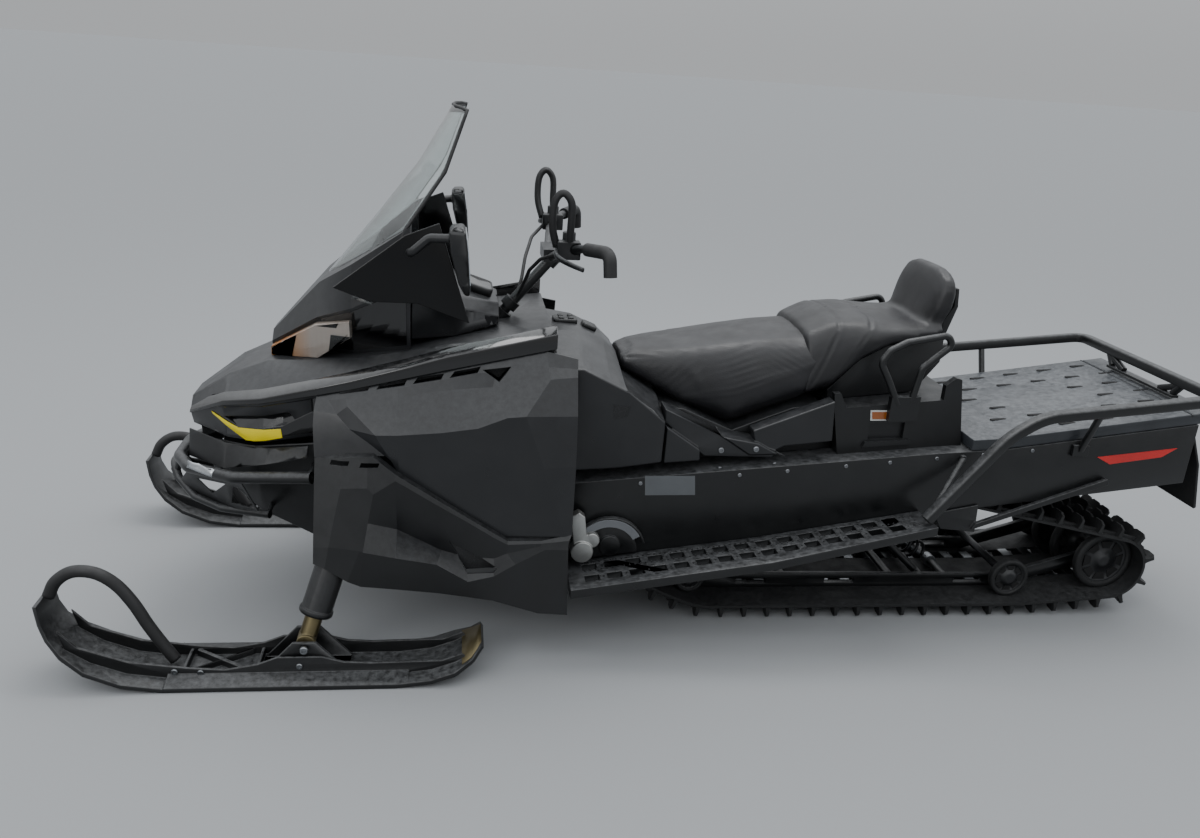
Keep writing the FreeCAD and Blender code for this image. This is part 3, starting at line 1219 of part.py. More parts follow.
# Every sub-part is checked before anything is written
doc.recompute()
for item in doc.Objects:
    if "Invalid" in item.State or "Error" in item.State:
        raise RuntimeError("%s failed: %s" % (item.Name, item.State))
for label, item in nodes.items():
    if item.Shape.isNull() or not item.Shape.isValid() or item.Shape.Volume < 1:
        raise RuntimeError(label + " has no valid shape")
os.makedirs("parts", exist_ok=True)
for label, item in nodes.items():
    item.Shape.exportStep("parts/%s.step" % label)
print(len(nodes), "nodes", sum(len(item.Shape.Solids) for item in nodes.values()), "solids")
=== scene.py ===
import math

import bmesh
import bpy
import numpy as np
from mathutils import Matrix, Vector
from mathutils.bvhtree import BVHTree


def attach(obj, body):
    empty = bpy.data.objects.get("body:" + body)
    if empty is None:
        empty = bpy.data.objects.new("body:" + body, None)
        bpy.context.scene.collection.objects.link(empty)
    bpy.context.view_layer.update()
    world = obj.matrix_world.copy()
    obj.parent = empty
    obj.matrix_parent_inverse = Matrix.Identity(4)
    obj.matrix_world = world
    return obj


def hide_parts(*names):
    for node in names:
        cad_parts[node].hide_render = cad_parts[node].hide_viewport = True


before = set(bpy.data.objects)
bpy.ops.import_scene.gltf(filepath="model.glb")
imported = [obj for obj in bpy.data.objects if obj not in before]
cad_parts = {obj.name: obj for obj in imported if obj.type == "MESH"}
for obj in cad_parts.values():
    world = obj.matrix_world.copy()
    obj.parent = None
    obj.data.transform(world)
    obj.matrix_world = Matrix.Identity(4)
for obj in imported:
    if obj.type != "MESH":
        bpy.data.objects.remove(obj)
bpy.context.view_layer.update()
# Slots by material, search trees by CAD node, and the signs of left and right
slots, trees, sides = {}, {}, (1, -1)


# Tunnel, running boards and rear braces.
# Folded aluminium sheet, powder coated black. The coat's fine orange peel gives broad soft
# highlights, and dried slush leaves a thin grey film on what faces up.
def linear(code):
    """An sRGB hex value as linear RGBA: c/12.92 below 0.04045, else ((c+0.055)/1.055)^2.4."""
    c = np.array([int(code[i:i + 2], 16) for i in (1, 3, 5)]) / 255
    c = np.where(c <= 0.04045, c / 12.92, ((c + 0.055) / 1.055) ** 2.4)
    return (*c.tolist(), 1.0)


def feed(tree, node, links):
    """Links sources to a node's inputs; a source is an output, or a node for its first output."""
    for key, source in links.items():
        source = source.outputs[0] if isinstance(source, bpy.types.Node) else source
        tree.links.new(source, node.inputs[key])


def add(tree, kind, settings, links):
    """Adds one shader node: settings are sockets or attributes by name, links as for feed."""
    made = tree.nodes.new("ShaderNode" + kind)
    for key, value in settings.items():
        if isinstance(key, int) or key in made.inputs:
            made.inputs[key].default_value = value
        else:
            setattr(made, key, value)
    feed(tree, made, links)
    return made


def mixed(tree, share, settings, links):
    """A colour between input 6 and input 7, by a share."""
    return add(tree, "Mix", {"data_type": "RGBA", **settings}, {0: share, **links}).outputs[2]


def surface(name, slot, colour=None, rough=0.5, metallic=0.0, ior=1.5, coat=0.0, transmission=0.0):
    """A material for a slot, its node tree, its shader and the coordinates that patterns read."""
    material = bpy.data.materials.new(name)
    material.use_nodes = True
    slots[material.name] = slot
    tree = material.node_tree
    shader = tree.nodes["Principled BSDF"]
    for key, value in {"Metallic": metallic, "IOR": ior, "Roughness": rough, "Coat Weight": coat,
                       "Coat Roughness": 0.08, "Transmission Weight": transmission}.items():
        shader.inputs[key].default_value = value
    if colour:
        shader.inputs["Base Color"].default_value = linear(colour)
    return material, tree, shader, add(tree, "TexCoord", {}, {})


def weathered(name, slot, colours, rough, grain, depth, film_share=0.35, **kind):
    """A base colour mottled with a worn one, a dust film on what faces up, and a grain.

    The colours are base, worn and film. Dust share = film_share x (upward share of the normal)
    x (cloudy noise). The grain is a noise of that size in mm, pressed in by that depth in mm.
    """
    material, tree, shader, place = surface(name, slot, **kind)
    base, worn, film = (linear(code) for code in colours.split())

    def noise(scale, detail, roughness=0.5):
        return add(tree, "TexNoise", {"Scale": scale, "Detail": detail, "Roughness": roughness},
                   {"Vector": place.outputs["Object"]})

    def ranged(source, low, high, floor=0.0, top=1.0):
        return add(tree, "MapRange", {1: low, 2: high, 3: floor, 4: top}, {0: source})

    axes = add(tree, "SeparateXYZ", {}, {0: place.outputs["Normal"]})
    plain = mixed(tree, ranged(noise(7.0, 6.0, 0.6), 0.42, 0.68), {6: base, 7: worn}, {})
    patchy = add(tree, "Math", {"operation": "MULTIPLY"},
                 {0: ranged(noise(60.0, 8.0, 0.75), 0.35, 0.72), 1: ranged(axes.outputs[2], 0.1, 1.0)})
    share = add(tree, "Math", {"operation": "MULTIPLY", 1: film_share}, {0: patchy})
    rubbed = ranged(noise(18.0, 5.0), 0.3, 0.7, rough * 0.82, rough * 1.22)
    duller = add(tree, "Math", {"operation": "MULTIPLY_ADD", 1: 0.6}, {0: share, 2: rubbed})
    relief = add(tree, "Bump", {"Strength": 1.0, "Distance": depth / 1000},
                 {"Height": noise(1000.0 / grain, 3.0)})
    feed(tree, shader, {"Base Color": mixed(tree, share, {7: film}, {6: plain}),
                        "Roughness": duller, "Normal": relief})
    return material


def placed(name, data):
    """A new object of this data in the scene."""
    piece = bpy.data.objects.new(name, data)
    bpy.context.collection.objects.link(piece)
    return piece


def shaded_smooth(mesh, smooth=True):
    """Shades all faces smooth, or flat."""
    mesh.polygons.foreach_set("use_smooth", np.full(len(mesh.polygons), smooth))


def values(mesh, what="co"):
    """A mesh's points, or what else its vertices hold, in shape (n, 3)."""
    got = np.zeros(len(mesh.vertices) * 3)
    mesh.vertices.foreach_get(what, got)
    return got.reshape(-1, 3)


def moved(mesh, points):
    """Puts a mesh's points at these places."""
    mesh.vertices.foreach_set("co", points.ravel())


def piece_of(mesh, material, body="chassis", stands_for=(), name=None):
    """A finished object of a mesh: its material, slot and body, and the nodes it stands for."""
    piece = placed(name or mesh.name, mesh)
    mesh.materials.clear()
    mesh.materials.append(material)
    if stands_for:
        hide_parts(*stands_for)
    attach(piece, body)
    return piece


def rounded(piece, radius, segments=2, corner=28, **more):
    """Rounds off the edges that are sharper than a corner angle."""
    shaded_smooth(piece.data)
    edge = piece.modifiers.new("edge", "BEVEL")
    for key, value in {"width": radius, "segments": segments, "limit_method": "ANGLE",
                       "angle_limit": math.radians(corner), "harden_normals": True, **more}.items():
        setattr(edge, key, value)


def clean_copy(node, name):
    """A CAD node's mesh with its triangles merged back into the flat faces they came from."""
    made = bmesh.new()
    made.from_mesh(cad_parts[node].data)
    bmesh.ops.remove_doubles(made, verts=made.verts, dist=2e-5)
    bmesh.ops.dissolve_limit(made, angle_limit=math.radians(0.8), verts=made.verts, edges=made.edges)
    mesh = bpy.data.meshes.new(name)
    made.to_mesh(mesh)
    made.free()
    return mesh


def soft_edged(material, rows, segments=2, body="chassis"):
    """Each row's piece stands for a CAD node, with its edges rounded off to a radius in mm."""
    for node, radius in rows:
        mesh = clean_copy(node, node + "_soft_edged")
        piece = piece_of(mesh, material, body, (node,), node + "_finished")
        rounded(piece, radius / 1000, segments, 22, use_clamp_overlap=False, miter_outer="MITER_ARC")


def finished(material, *nodes):
    """CAD nodes whose shape is right take this material."""
    for node in nodes:
        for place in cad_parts[node].material_slots:
            place.material = material


def ring_faces(rings, count, ends=True, loop=False):
    """The faces of a grid of rings: quads between neighbours, and a cap at either end; in a
    loop the last ring meets the first instead."""
    index = np.arange(rings * count).reshape(rings, count)
    if loop:
        index, ends = np.concatenate([index, index[:1]]), False
    turned = np.roll(index, -1, axis=1)
    faces = np.stack([index[:-1], turned[:-1], turned[1:], index[1:]], -1).reshape(-1, 4).tolist()
    return faces + [index[0, ::-1].tolist(), index[-1].tolist()] if ends else faces


def mesh_of(name, points, faces, smooth=False):
    """A mesh of points and faces, with each closed shell's faces turned outward."""
    mesh = bpy.data.meshes.new(name)
    mesh.from_pydata(points.reshape(-1, 3).tolist(), [], faces)
    made = bmesh.new()
    made.from_mesh(mesh)
    bmesh.ops.recalc_face_normals(made, faces=made.faces)
    made.to_mesh(mesh)
    made.free()
    shaded_smooth(mesh, smooth)
    return mesh


def many(name, pattern, faces, places):
    """One mesh of like solids: pattern points (n, 3) carried by each place's origin and 3 axes.

    Point = origin + a x axis1 + b x axis2 + c x axis3, for places of shape (k, 4, 3).
    """
    points = places[:, None, 0] + np.einsum("nj,kji->kni", pattern, places[:, 1:])
    shifts = (np.arange(len(places)) * len(pattern)).tolist()
    return mesh_of(name, points, [[at + shift for at in face] for shift in shifts for face in faces])


def joined(name, grids, smooth=False, **how):
    """Several ring grids, of shape (rings, points per ring, 3), as one mesh."""
    points, faces, start = [], [], 0
    for grid in map(np.array, grids):
        faces += [[at + start for at in face] for face in ring_faces(*grid.shape[:2], **how)]
        points.append(grid.reshape(-1, 3))
        start += len(points[-1])
    return mesh_of(name, np.concatenate(points), faces, smooth)


def part(name, grids, material, slot=None, body="chassis", stands_for=(), smooth=False, **how):
    """A piece made of ring grids."""
    return piece_of(joined(name, grids, smooth, **how), material, body, stands_for)


def circle(count, power=1.0):
    """Cosines and sines round a circle, each raised to a power with its sign kept."""
    angle = np.linspace(0, 2 * np.pi, count, endpoint=False)
    return [np.sign(f) * np.abs(f) ** power for f in (np.cos(angle), np.sin(angle))]


def unit(vectors):
    """Vectors scaled to length 1."""
    return vectors / np.linalg.norm(vectors, axis=-1, keepdims=True)


def both(points):
    """Points on the left side, and their mirror image on the right."""
    return [np.array(points, float) * (1, side, 1) for side in sides]


def both_mm(points):
    """The same for points in mm."""
    return both(np.array(points) / 1000)


def prism(outline, near, far):
    """An upright outline of (x, z), carried across from one place along y to another."""
    return np.array([[(x, y, z) for x, z in outline] for y in (near, far)])


def met(node, start, way):
    """Where a line from start along way first meets a CAD node, and the normal there; or None."""
    if node not in trees:
        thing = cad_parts[node]
        turn = np.array(thing.matrix_world)
        points = values(thing.data) @ turn[:3, :3].T + turn[:3, 3]
        faces = [tuple(face.vertices) for face in thing.data.polygons]
        trees[node] = BVHTree.FromPolygons(points.tolist(), faces)
    spot, normal, _, _ = trees[node].ray_cast(Vector(start), Vector(way))
    if spot is None:
        return None
    return np.array(spot), np.array(normal) * (1 if normal.dot(Vector(way)) < 0 else -1)


def from_sides(node, places, away, middle=0.0):
    """Lines (node, start, way) that run in from both sides at each place (x, z)."""
    return [(node, (x, middle + side * away, z), (0, -side, 0)) for side in sides for x, z in places]


def screws(name, lines, radius, material, body="chassis"):
    """Socket head screws, one where each line (node, start, way) meets its node.

    The head's profile is (radius, height) x the head's radius, turned square to the surface.
    """
    c, s = circle(16)
    profile = np.array([(1.0, -0.2), (1.0, 0.33), (0.82, 0.55), (0.5, 0.55), (0.44, 0.22)])
    rings = np.stack([profile[:, :1] * c, profile[:, :1] * s, profile[:, 1:] + 0 * c], -1)
    places = []
    for spot, normal in filter(None, (met(*line) for line in lines)):
        side = unit(np.cross(normal, (0.3, 0.5, 0.8)))
        places.append([spot, side * radius, np.cross(normal, side) * radius, normal * radius])
    faces = ring_faces(*rings.shape[:2])
    piece_of(many(name, rings.reshape(-1, 3), faces, np.array(places)), material, body=body)


powder_coat = weathered(
    "powder_coated_aluminium", "black_painted_metal", "#0f1011 #151617 #85878a", 0.33, 4, 0.12)
soft_edged(powder_coat, [("tunnel", 1.5), ("running_boards", 1.5), ("rear_braces", 2)])
bright_zinc = weathered(
    "bright_zinc_steel", "steel", "#8a8c8f #77797c #8a8a88", 0.35, 3, 0.05, 0.2, metallic=0.9)
row_x = (0.12, -0.161, -0.299, -0.47, -0.6, -0.74, -0.88, -1.03, -1.18)
lines = from_sides("tunnel", [(x, 0.469 - 0.1 * x) for x in row_x], 0.5)
lines += [("tunnel", (x, side * 0.262, 0.64), (0, 0, -1)) for side in sides for x in (-0.109, -0.267)]
screws("tunnel_screws", lines, 0.0058, bright_zinc)

# The data plate on the left side stays bare
label_film = weathered(
    "label_film", "black_painted_metal", "#55585b #4d5053 #8d8f90", 0.42, 4, 0.02, 0.2)
plate_corners = ((0.109, 0.479), (-0.033, 0.481), (-0.039, 0.423), (0.104, 0.421))
part("data_plate", [prism(plate_corners, 0.2876, 0.2888)], label_film)

# Raised teeth beside the boards' cut-outs, where the boots stand
tooth_rings = np.array([[(a * wide, b * wide, high) for a, b in ((1, 0), (0, 1), (-1, 0), (0, -1))]
                        for wide, high in ((1, -0.3), (0.55, 1.0))])
tooth_places = []
for side in sides:
    for x in np.arange(0.27, -0.68, -0.0155):
        outer_edge = 0.455 + (x - 0.321) / (0.321 + 0.714) * 0.05
        for across in (0.318, 0.362, 0.404):
            y = 0.315 + (across - 0.315) * (outer_edge - 0.325) / 0.115
            hit = met("running_boards", (float(x), side * float(y), 1.0), (0, 0, -1))
            if hit and hit[1][2] > 0.8:
                tooth_places.append([hit[0], (0.0036, 0, 0), (0, 0.0036, 0), hit[1] * 0.0032])
piece_of(many("board_teeth", tooth_rings.reshape(-1, 3), ring_faces(2, 4), np.array(tooth_places)),
         powder_coat)


# Track: one moulded rubber belt with sprocket windows, drive clips and cupped paddles.
# Vulcanised rubber over fabric: matt and mottled, with a thin grey film on what faces up.
rubber = weathered(
    "track_rubber", "rubber", "#0f1011 #171819 #6f7072", 0.66, 6, 0.6, 0.22)
lug_count, belt_thick, pitch_parts = 54, 0.008, 12
# The belt's inner face wraps these circles in running order: x, z, radius
belt_circles = np.array([
    (0.197, 0.274, 0.086), (-0.141, 0.29, 0.244), (-1.119, 0.29, 0.244),
    (-1.419, 0.165, 0.096), (-0.827, 0.331, 0.056)])


def belt_line(offset, count):
    """Evenly spaced points and running directions at an offset outside the belt's inner face.

    Each circle is joined to the next by their common outer tangent.
    """
    after = np.roll(belt_circles, -1, axis=0)
    step = after[:, :2] - belt_circles[:, :2]
    far = np.hypot(step[:, 0], step[:, 1])
    leave = np.arctan2(step[:, 1], step[:, 0]) + np.arccos((belt_circles[:, 2] - after[:, 2]) / far)
    enter = np.roll(leave, 1)
    turn = (enter - leave) % (2 * np.pi)
    angles = enter[:, None] - turn[:, None] * np.linspace(0, 1, 41)
    reach = belt_circles[:, 2:3] + offset
    line = np.stack([belt_circles[:, 0:1] + reach * np.cos(angles),
                     belt_circles[:, 1:2] + reach * np.sin(angles)], -1).reshape(-1, 2)
    line = np.vstack([line, line[:1]])
    length = np.concatenate([[0], np.cumsum(np.hypot(*np.diff(line, axis=0).T))])
    marks = np.linspace(0, length[-1], count, endpoint=False)
    spots, ahead = (np.stack([np.interp(at, length, line[:, i]) for i in (0, 1)], -1)
                    for at in (marks, np.mod(marks + 0.004, length[-1])))
    return spots, unit(ahead - spots)


def belt_ribbon(y0, y1, steps=432):
    """A closed loop of the belt's thickness between two crosswise places, as a ring grid."""
    inner, way = belt_line(0.0, steps)
    outer = inner + np.stack([-way[:, 1], way[:, 0]], -1) * belt_thick
    grid = np.stack([np.stack([line[:, 0], np.full(steps, y), line[:, 1]], -1)
                     for line, y in ((inner, y0), (outer, y0), (outer, y1), (inner, y1))], 1)
    return np.concatenate([grid, grid[:1]], 0)


def on_belt(name, pattern, faces, material, offset, shift, rows):
    """One piece of like solids on the belt, a row across it at each y and one for each lug.

    Sizes are length along, width across and height out; the shift is in parts of a pitch.
    """
    spots, way = belt_line(offset, lug_count * pitch_parts)
    pick = np.arange(lug_count) * pitch_parts + shift
    spot, run, zero = spots[pick], way[pick], np.zeros(lug_count)
    places = [np.stack([
        np.stack([spot[:, 0], zero + y, spot[:, 1]], -1),
        np.stack([run[:, 0] * long, zero, run[:, 1] * long], -1),
        np.stack([zero, zero + wide, zero], -1),
        np.stack([-run[:, 1] * tall, zero, run[:, 0] * tall], -1)], 1) for y, (long, wide, tall) in rows]
    piece_of(many(name, pattern, faces, np.concatenate(places)), material)


for name, y0, y1 in (("middle", -0.052, 0.052), ("left", 0.096, 0.254), ("right", -0.254, -0.096)):
    part("track_band_" + name, [belt_ribbon(y0, y1)], rubber,
         stands_for=("track",) if name == "middle" else (), ends=False)
block = np.array([(a, b, c) for c in (0, 1)
                  for a, b in ((-0.5, -0.5), (0.5, -0.5), (0.5, 0.5), (-0.5, 0.5))])
block_faces = ring_faces(2, 4)
windows_y = (-0.074, 0.074)
on_belt("track_bridges", block, block_faces, rubber, 0.0, 6,
        [(y, (0.034, 0.048, belt_thick)) for y in windows_y])

# A paddle's section tapers from foot to tip; its tip is notched into three teeth, and it is
# cupped forward between its ends
cup = np.linspace(-0.5, 0.5, 13)
tip = 1.0 - 0.16 * (np.cos(cup * 2 * np.pi * 3) < -0.3) - 0.06 * (np.abs(cup) > 0.45)
bow = 0.35 * (1 - (2 * cup) ** 2)
section = ((0.0, 0.5), (0.35, 0.36), (1.0, 0.24), (1.0, -0.24), (0.35, -0.36), (0.0, -0.5))
paddle = np.stack([np.stack([bow * lift + half, cup, tip * lift], -1) for lift, half in section], 1)
sunk = belt_thick - 0.001
on_belt("track_paddles", paddle.reshape(-1, 3), ring_faces(13, 6), rubber, sunk, 6,
        [(y, (0.016, wide, 0.0385)) for y, wide in ((0.0, 0.142), (0.176, 0.156), (-0.176, 0.156))])
on_belt("track_ribs", block, block_faces, rubber, sunk, 0,
        [(y, (0.062, 0.01, 0.01)) for y in (-0.235, -0.118, -0.03, 0.03, 0.118, 0.235)])

# Drive clips: pressed steel folded over the belt at each window
bright_steel = weathered(
    "zinc_plated_steel", "steel", "#8e9194 #6f7275 #8f8f8c", 0.32, 3, 0.08, 0.2, metallic=1.0)
on_belt("track_clips", block, block_faces, bright_steel, -0.0012, 6,
        [(y, (0.03, 0.046, 0.0016)) for y in windows_y])


# Rear suspension: extruded rails, welded tube arms, a drive axle and two gas shocks.
# The rails and arms are black, the shocks bright, and the wheels moulded with rubber tyres.
soft_edged(powder_coat, [("slide_rails", 1.5)])
finished(powder_coat, "suspension_arms")
finished(bright_steel, "shocks", "hitch")
dark_steel = weathered(
    "phosphated_steel", "steel", "#2a2b2d #38393b #77777a", 0.42, 3, 0.1, 0.2, metallic=0.8)
finished(dark_steel, "drive_axle")
wheel_plastic = weathered(
    "moulded_nylon", "matte_black_plastic", "#141517 #1d1e20 #7b7d80", 0.45, 2, 0.1, 0.3)
shade = surface("shaded_opening", "matte_black_plastic", "#050506", 0.85)[0]


def lathe(half, centre, steps=48):
    """Half a profile of (radius, y), mirrored in y and turned about the crosswise axis."""
    profile = np.array(half + [(radius, -y) for radius, y in half[::-1]])
    c, s = circle(steps)
    return np.stack([profile[:, :1] * c, profile[:, 1:] + 0 * c, profile[:, :1] * s], -1) + centre


# Wheels: x, z, radius, places across, and how far their axle reaches out. Each has eight windows between its
# spokes, at these turns and shares of the radius; they are near-black solids of painted shade that stand in
# for openings through the disc
wheel_sets = ((-0.075, 0.106, 0.044, (0.186,), 0.198), (-1.104, 0.1083, 0.062, (0.196,), 0.208),
              (-1.419, 0.165, 0.0956, (0.056, 0.188), 0.2), (-0.827, 0.331, 0.0556, (0.085, 0.179), 0.2847))
window = ((-0.27, 0.46), (0.27, 0.46), (0.3, 0.72), (-0.3, 0.72))
tyres, discs, axles, windows = [], [], [], []
for x, z, radius, places, reach in wheel_sets:
    for y in [side * place for place in places for side in sides]:
        tyres.append(lathe([(radius * 0.78, -0.0115), (radius - 0.003, -0.012), (radius, -0.008)],
                           (x, y, z)).transpose(1, 0, 2))
        discs.append(lathe([(0.012, -0.013), (0.022, -0.013), (0.024, -0.006),
                            (radius * 0.74, -0.003), (radius * 0.8, -0.0118)], (x, y, z)))
        for turn in np.arange(8) * np.pi / 4:
            corners = [(x + radius * far * math.cos(turn + spread),
                        z + radius * far * math.sin(turn + spread)) for spread, far in window]
            windows.append(prism(corners, y - 0.0065, y + 0.0065))
    axles.append(lathe([(0.0119, -reach)], (x, 0, z), 24))
    axles.append(lathe([(0.008, -reach - 0.0004), (0.0115, -reach)], (x, 0, z), 6))
part("wheel_tyres", tyres, rubber, stands_for=("rail_wheels",), smooth=True, loop=True)
part("wheel_discs", discs, wheel_plastic, smooth=True)
part("wheel_axles", axles, dark_steel, smooth=True)
# The wheel windows take the near-black of painted shade
part("wheel_windows", windows, shade)


def swept(path, radius, sides=12, square=1.0):
    """A bar along smooth points: ring at each point in the plane square to the path; its points
    are at |cos|^square and |sin|^square, so 1 is round and less is flat sided.

    The frame is carried along without twist, by projecting the last side direction.
    """
    path = np.asarray(path, float)
    way = unit(np.gradient(path, axis=0))
    side = np.zeros_like(path)
    start = np.cross(way[0], (0.0, 0.0, 1.0))
    if np.linalg.norm(start) < 0.2:
        start = np.cross(way[0], (0.0, 1.0, 0.0))
    side[0] = unit(start)
    for i in range(1, len(path)):
        side[i] = unit(side[i - 1] - way[i] * (side[i - 1] @ way[i]))
    c, s = [f[:, None] for f in circle(sides, square)]
    radius = np.broadcast_to(np.asarray(radius, float), (len(path),))[:, None, None]
    return path[:, None] + radius * (c * side[:, None] + s * np.cross(way, side)[:, None])


def smooth_line(points, steps):
    """A curve through points, by the Catmull-Rom cubic of each four neighbours."""
    points = np.array(points, float)
    points = np.vstack([2 * points[0] - points[1], points, 2 * points[-1] - points[-2]])
    t = np.linspace(0, 1, steps, endpoint=False)[:, None]
    runs = [0.5 * (2 * b + (c - a) * t + (2 * a - 5 * b + 4 * c - d) * t ** 2
                   + (3 * b - a - 3 * c + d) * t ** 3)
            for a, b, c, d in zip(points, points[1:], points[2:], points[3:])]
    return np.vstack(runs + [points[-2:-1]])


def coil(start, end, turns, radius):
    """A helix round the line from start to end: radius x (cos, sin) in the plane square to it."""
    way, across = unit(end - start), np.array([0.0, 1.0, 0.0])
    share = np.linspace(0, 1, turns * 20)[:, None]
    angle = share * turns * 2 * np.pi
    return start + (end - start) * share + radius * (np.cos(angle) * across
                                                     + np.sin(angle) * np.cross(way, across))


springs = []
for high, low in (((-0.611, 0, 0.29), (-0.935, 0, 0.068)), ((0.028, 0, 0.246), (-0.395, 0, 0.068))):
    high, low = np.array(high), np.array(low)
    ends = [high + (low - high) * share for share in (0.2, 0.86)]
    springs.append(swept(coil(*ends, 9, 0.031), 0.0055, 8))
part("shock_springs", springs, dark_steel, smooth=True)


# Skis, their lifting handles and the legs.
# The skis are moulded polyethylene with ribs, the handles a moulded strap, and the legs
# extruded aluminium tube anodised bronze. The tail's patch is worn bright.
grip_rubber = weathered(
    "soft_grip_rubber", "rubber", "#141415 #1b1b1c #6f7072", 0.6, 2, 0.3, 0.15)
ski_plastic = weathered(
    "moulded_polyethylene", "matte_black_plastic", "#0a0b0c #121314 #808284", 0.40, 3, 0.15, 0.4)
bronze = weathered(
    "bronze_anodised_aluminium", "bronze_metal", "#6e6448 #5b533d #8b8676", 0.4, 2, 0.06, 0.2, metallic=0.85)
strap_line = ((1.334, 0.03), (1.356, 0.066), (1.392, 0.13), (1.424, 0.196), (1.462, 0.25),
              (1.508, 0.281), (1.56, 0.284), (1.6, 0.257), (1.62, 0.218))
tail_patch = ((0.554, 0.0975, 0.044), (0.566, 0.083, 0.06), (0.58, 0.069, 0.074), (0.604, 0.0545, 0.084))
patch_section = ((-1, -0.001), (-0.96, 0.0024), (0.96, 0.0024), (1, -0.001))
for name, middle in (("left", 0.47), ("right", -0.47)):
    ski = "ski_" + name
    soft_edged(ski_plastic, [(ski, 2)], body=ski)
    soft_edged(bronze, [("ski_leg_" + name, 2)], body="leg_" + name)
    strap = swept(smooth_line([(x, middle, z) for x, z in strap_line], 6), 0.0155, 16)
    part("ski_strap_" + name, [strap], grip_rubber, "matte_black_plastic", ski,
         ("ski_handle_" + name,), smooth=True)
    rings = [[(x, middle + half * a, z + up) for a, up in patch_section] for x, z, half in tail_patch]
    part("ski_tail_patch_" + name, [rings], bronze, body=ski, smooth=True)
    lines = from_sides(ski, ((1.323, 0.03), (1.017, 0.04), (1.26, 0.026)), 0.2, middle)
    screws("ski_screws_" + name, lines, 0.0085, bright_steel, ski)
    screws("pivot_screws_" + name, from_sides(ski, ((1.005, 0.086),), 0.2, middle), 0.011, bright_steel, ski)


# Body panels: hood, cowl, dash, rear cover, belly pan and nose.
# Moulded plastic, satin charcoal above and grained black below. The hood's edges carry gloss
# black blades, and the gauge and console stand on the dash and the rear cover.
satin = weathered(
    "satin_moulded_plastic", "charcoal_plastic", "#18191b #1d1e20 #8a8c8f", 0.33, 2, 0.08, 0.12)
gloss = weathered(
    "gloss_black_plastic", "gloss_black_plastic", "#040405 #070708 #8a8c8f", 0.09, 20, 0.2, 0.12, coat=0.6)
matte = weathered(
    "grained_black_plastic", "matte_black_plastic", "#0f1011 #141517 #808285", 0.42, 1.6, 0.12, 0.15)
yellow = weathered(
    "yellow_moulded_plastic", "yellow_plastic", "#ecd800 #e2cc00 #9a9a80", 0.35, 2, 0.05, 0.15)
soft_edged(satin, [("hood", 4)], 3)
soft_edged(gloss, [("hood_blades", 2.5)])
soft_edged(yellow, [("hood_accents", 1)])
finished(satin, "cowl")
soft_edged(satin, [("dash", 4)], 3)


def rounded_block(middle, turn, length, width, layers):
    """Rings of a rounded rectangle, (|cos|^0.35, |sin|^0.35) x half sizes, at each layer's height
    and share; the block leans back by the angle whose cosine and sine are the turn."""
    a, b = circle(40, 0.35)
    rings = [np.stack([a * length / 2 * share, b * width / 2 * share, 0 * a + high], -1)
             for high, share in layers]
    c, s = turn
    return np.array(middle) + np.array(rings) @ np.array([(c, 0, s), (0, 1, 0), (-s, 0, c)])


gauge_middle, gauge_turn, flat_turn = (0.578, 0, 0.93), (0.953, 0.302), (1, 0)
gauge = rounded_block(gauge_middle, gauge_turn, 0.082, 0.128,
                      [(-0.006, 1.0), (0.014, 1.0), (0.018, 0.96), (0.0185, 0.9), (0.016, 0.88)])
part("gauge_case", [gauge], matte, smooth=True)
glass = rounded_block(gauge_middle, gauge_turn, 0.072, 0.1125,
                      [(0.015, 1.0), (0.0168, 1.0), (0.0172, 0.98)])
part("gauge_glass", [glass], gloss, smooth=True)
soft_edged(satin, [("rear_cover", 5)], 3)
# Switch panel and seat latch on the console behind the post
panel = rounded_block((0.325, 0, 0.843), flat_turn, 0.07, 0.062,
                      [(-0.006, 1.0), (0.007, 1.0), (0.01, 0.93)])
latch = rounded_block((0.255, 0, 0.826), (0.93, 0.367), 0.044, 0.05,
                      [(-0.006, 1.0), (0.008, 1.0), (0.011, 0.88)])
buttons = [rounded_block((0.325 + a, b, 0.853), flat_turn, 0.016, 0.02,
                         [(-0.003, 1.0), (0.003, 1.0), (0.0045, 0.85)])
           for a in (-0.016, 0.012) for b in (-0.015, 0.015)]
part("console_switches", [panel, latch] + buttons, matte, smooth=True)
soft_edged(matte, [("belly_pan", 3), ("nose_fascia", 2), ("nose_guard", 1.5)])
soft_edged(matte, [("struts", 3)], 3)


def laid_on(node, starts, way, lift, sunk=0.0012):
    """A thin closed shell lying on a CAD node: a grid of starts is carried along way until it
    meets the node; the outer face stands off by the lift, the inner one lies sunk below.
    A start that meets nothing is carried as far as the one before it."""
    way = unit(np.array(way, float))
    hits, far = np.array(starts, float), None
    for start in hits.reshape(-1, 3):
        hit = met(node, start, way)
        far = (hit[0] - start) @ way if hit else far
        start += way * far
    return np.concatenate([hits - way * lift, (hits + way * sunk)[:, ::-1]], 1)


def side_covers(name, node, rows, lift, material):
    """Shells laid on a node from both sides."""
    grids = [laid_on(node, grid, (0, -side, 0), lift) for side, grid in zip(sides, both(rows))]
    part(name, grids, material)


def between(low, high, xs, shares, away=0.6):
    """Starts at each x, at shares of the way from a low line to a high one."""
    return [[(x, away, a + (b - a) * share) for share in shares] for x, a, b in zip(xs, low, high)]


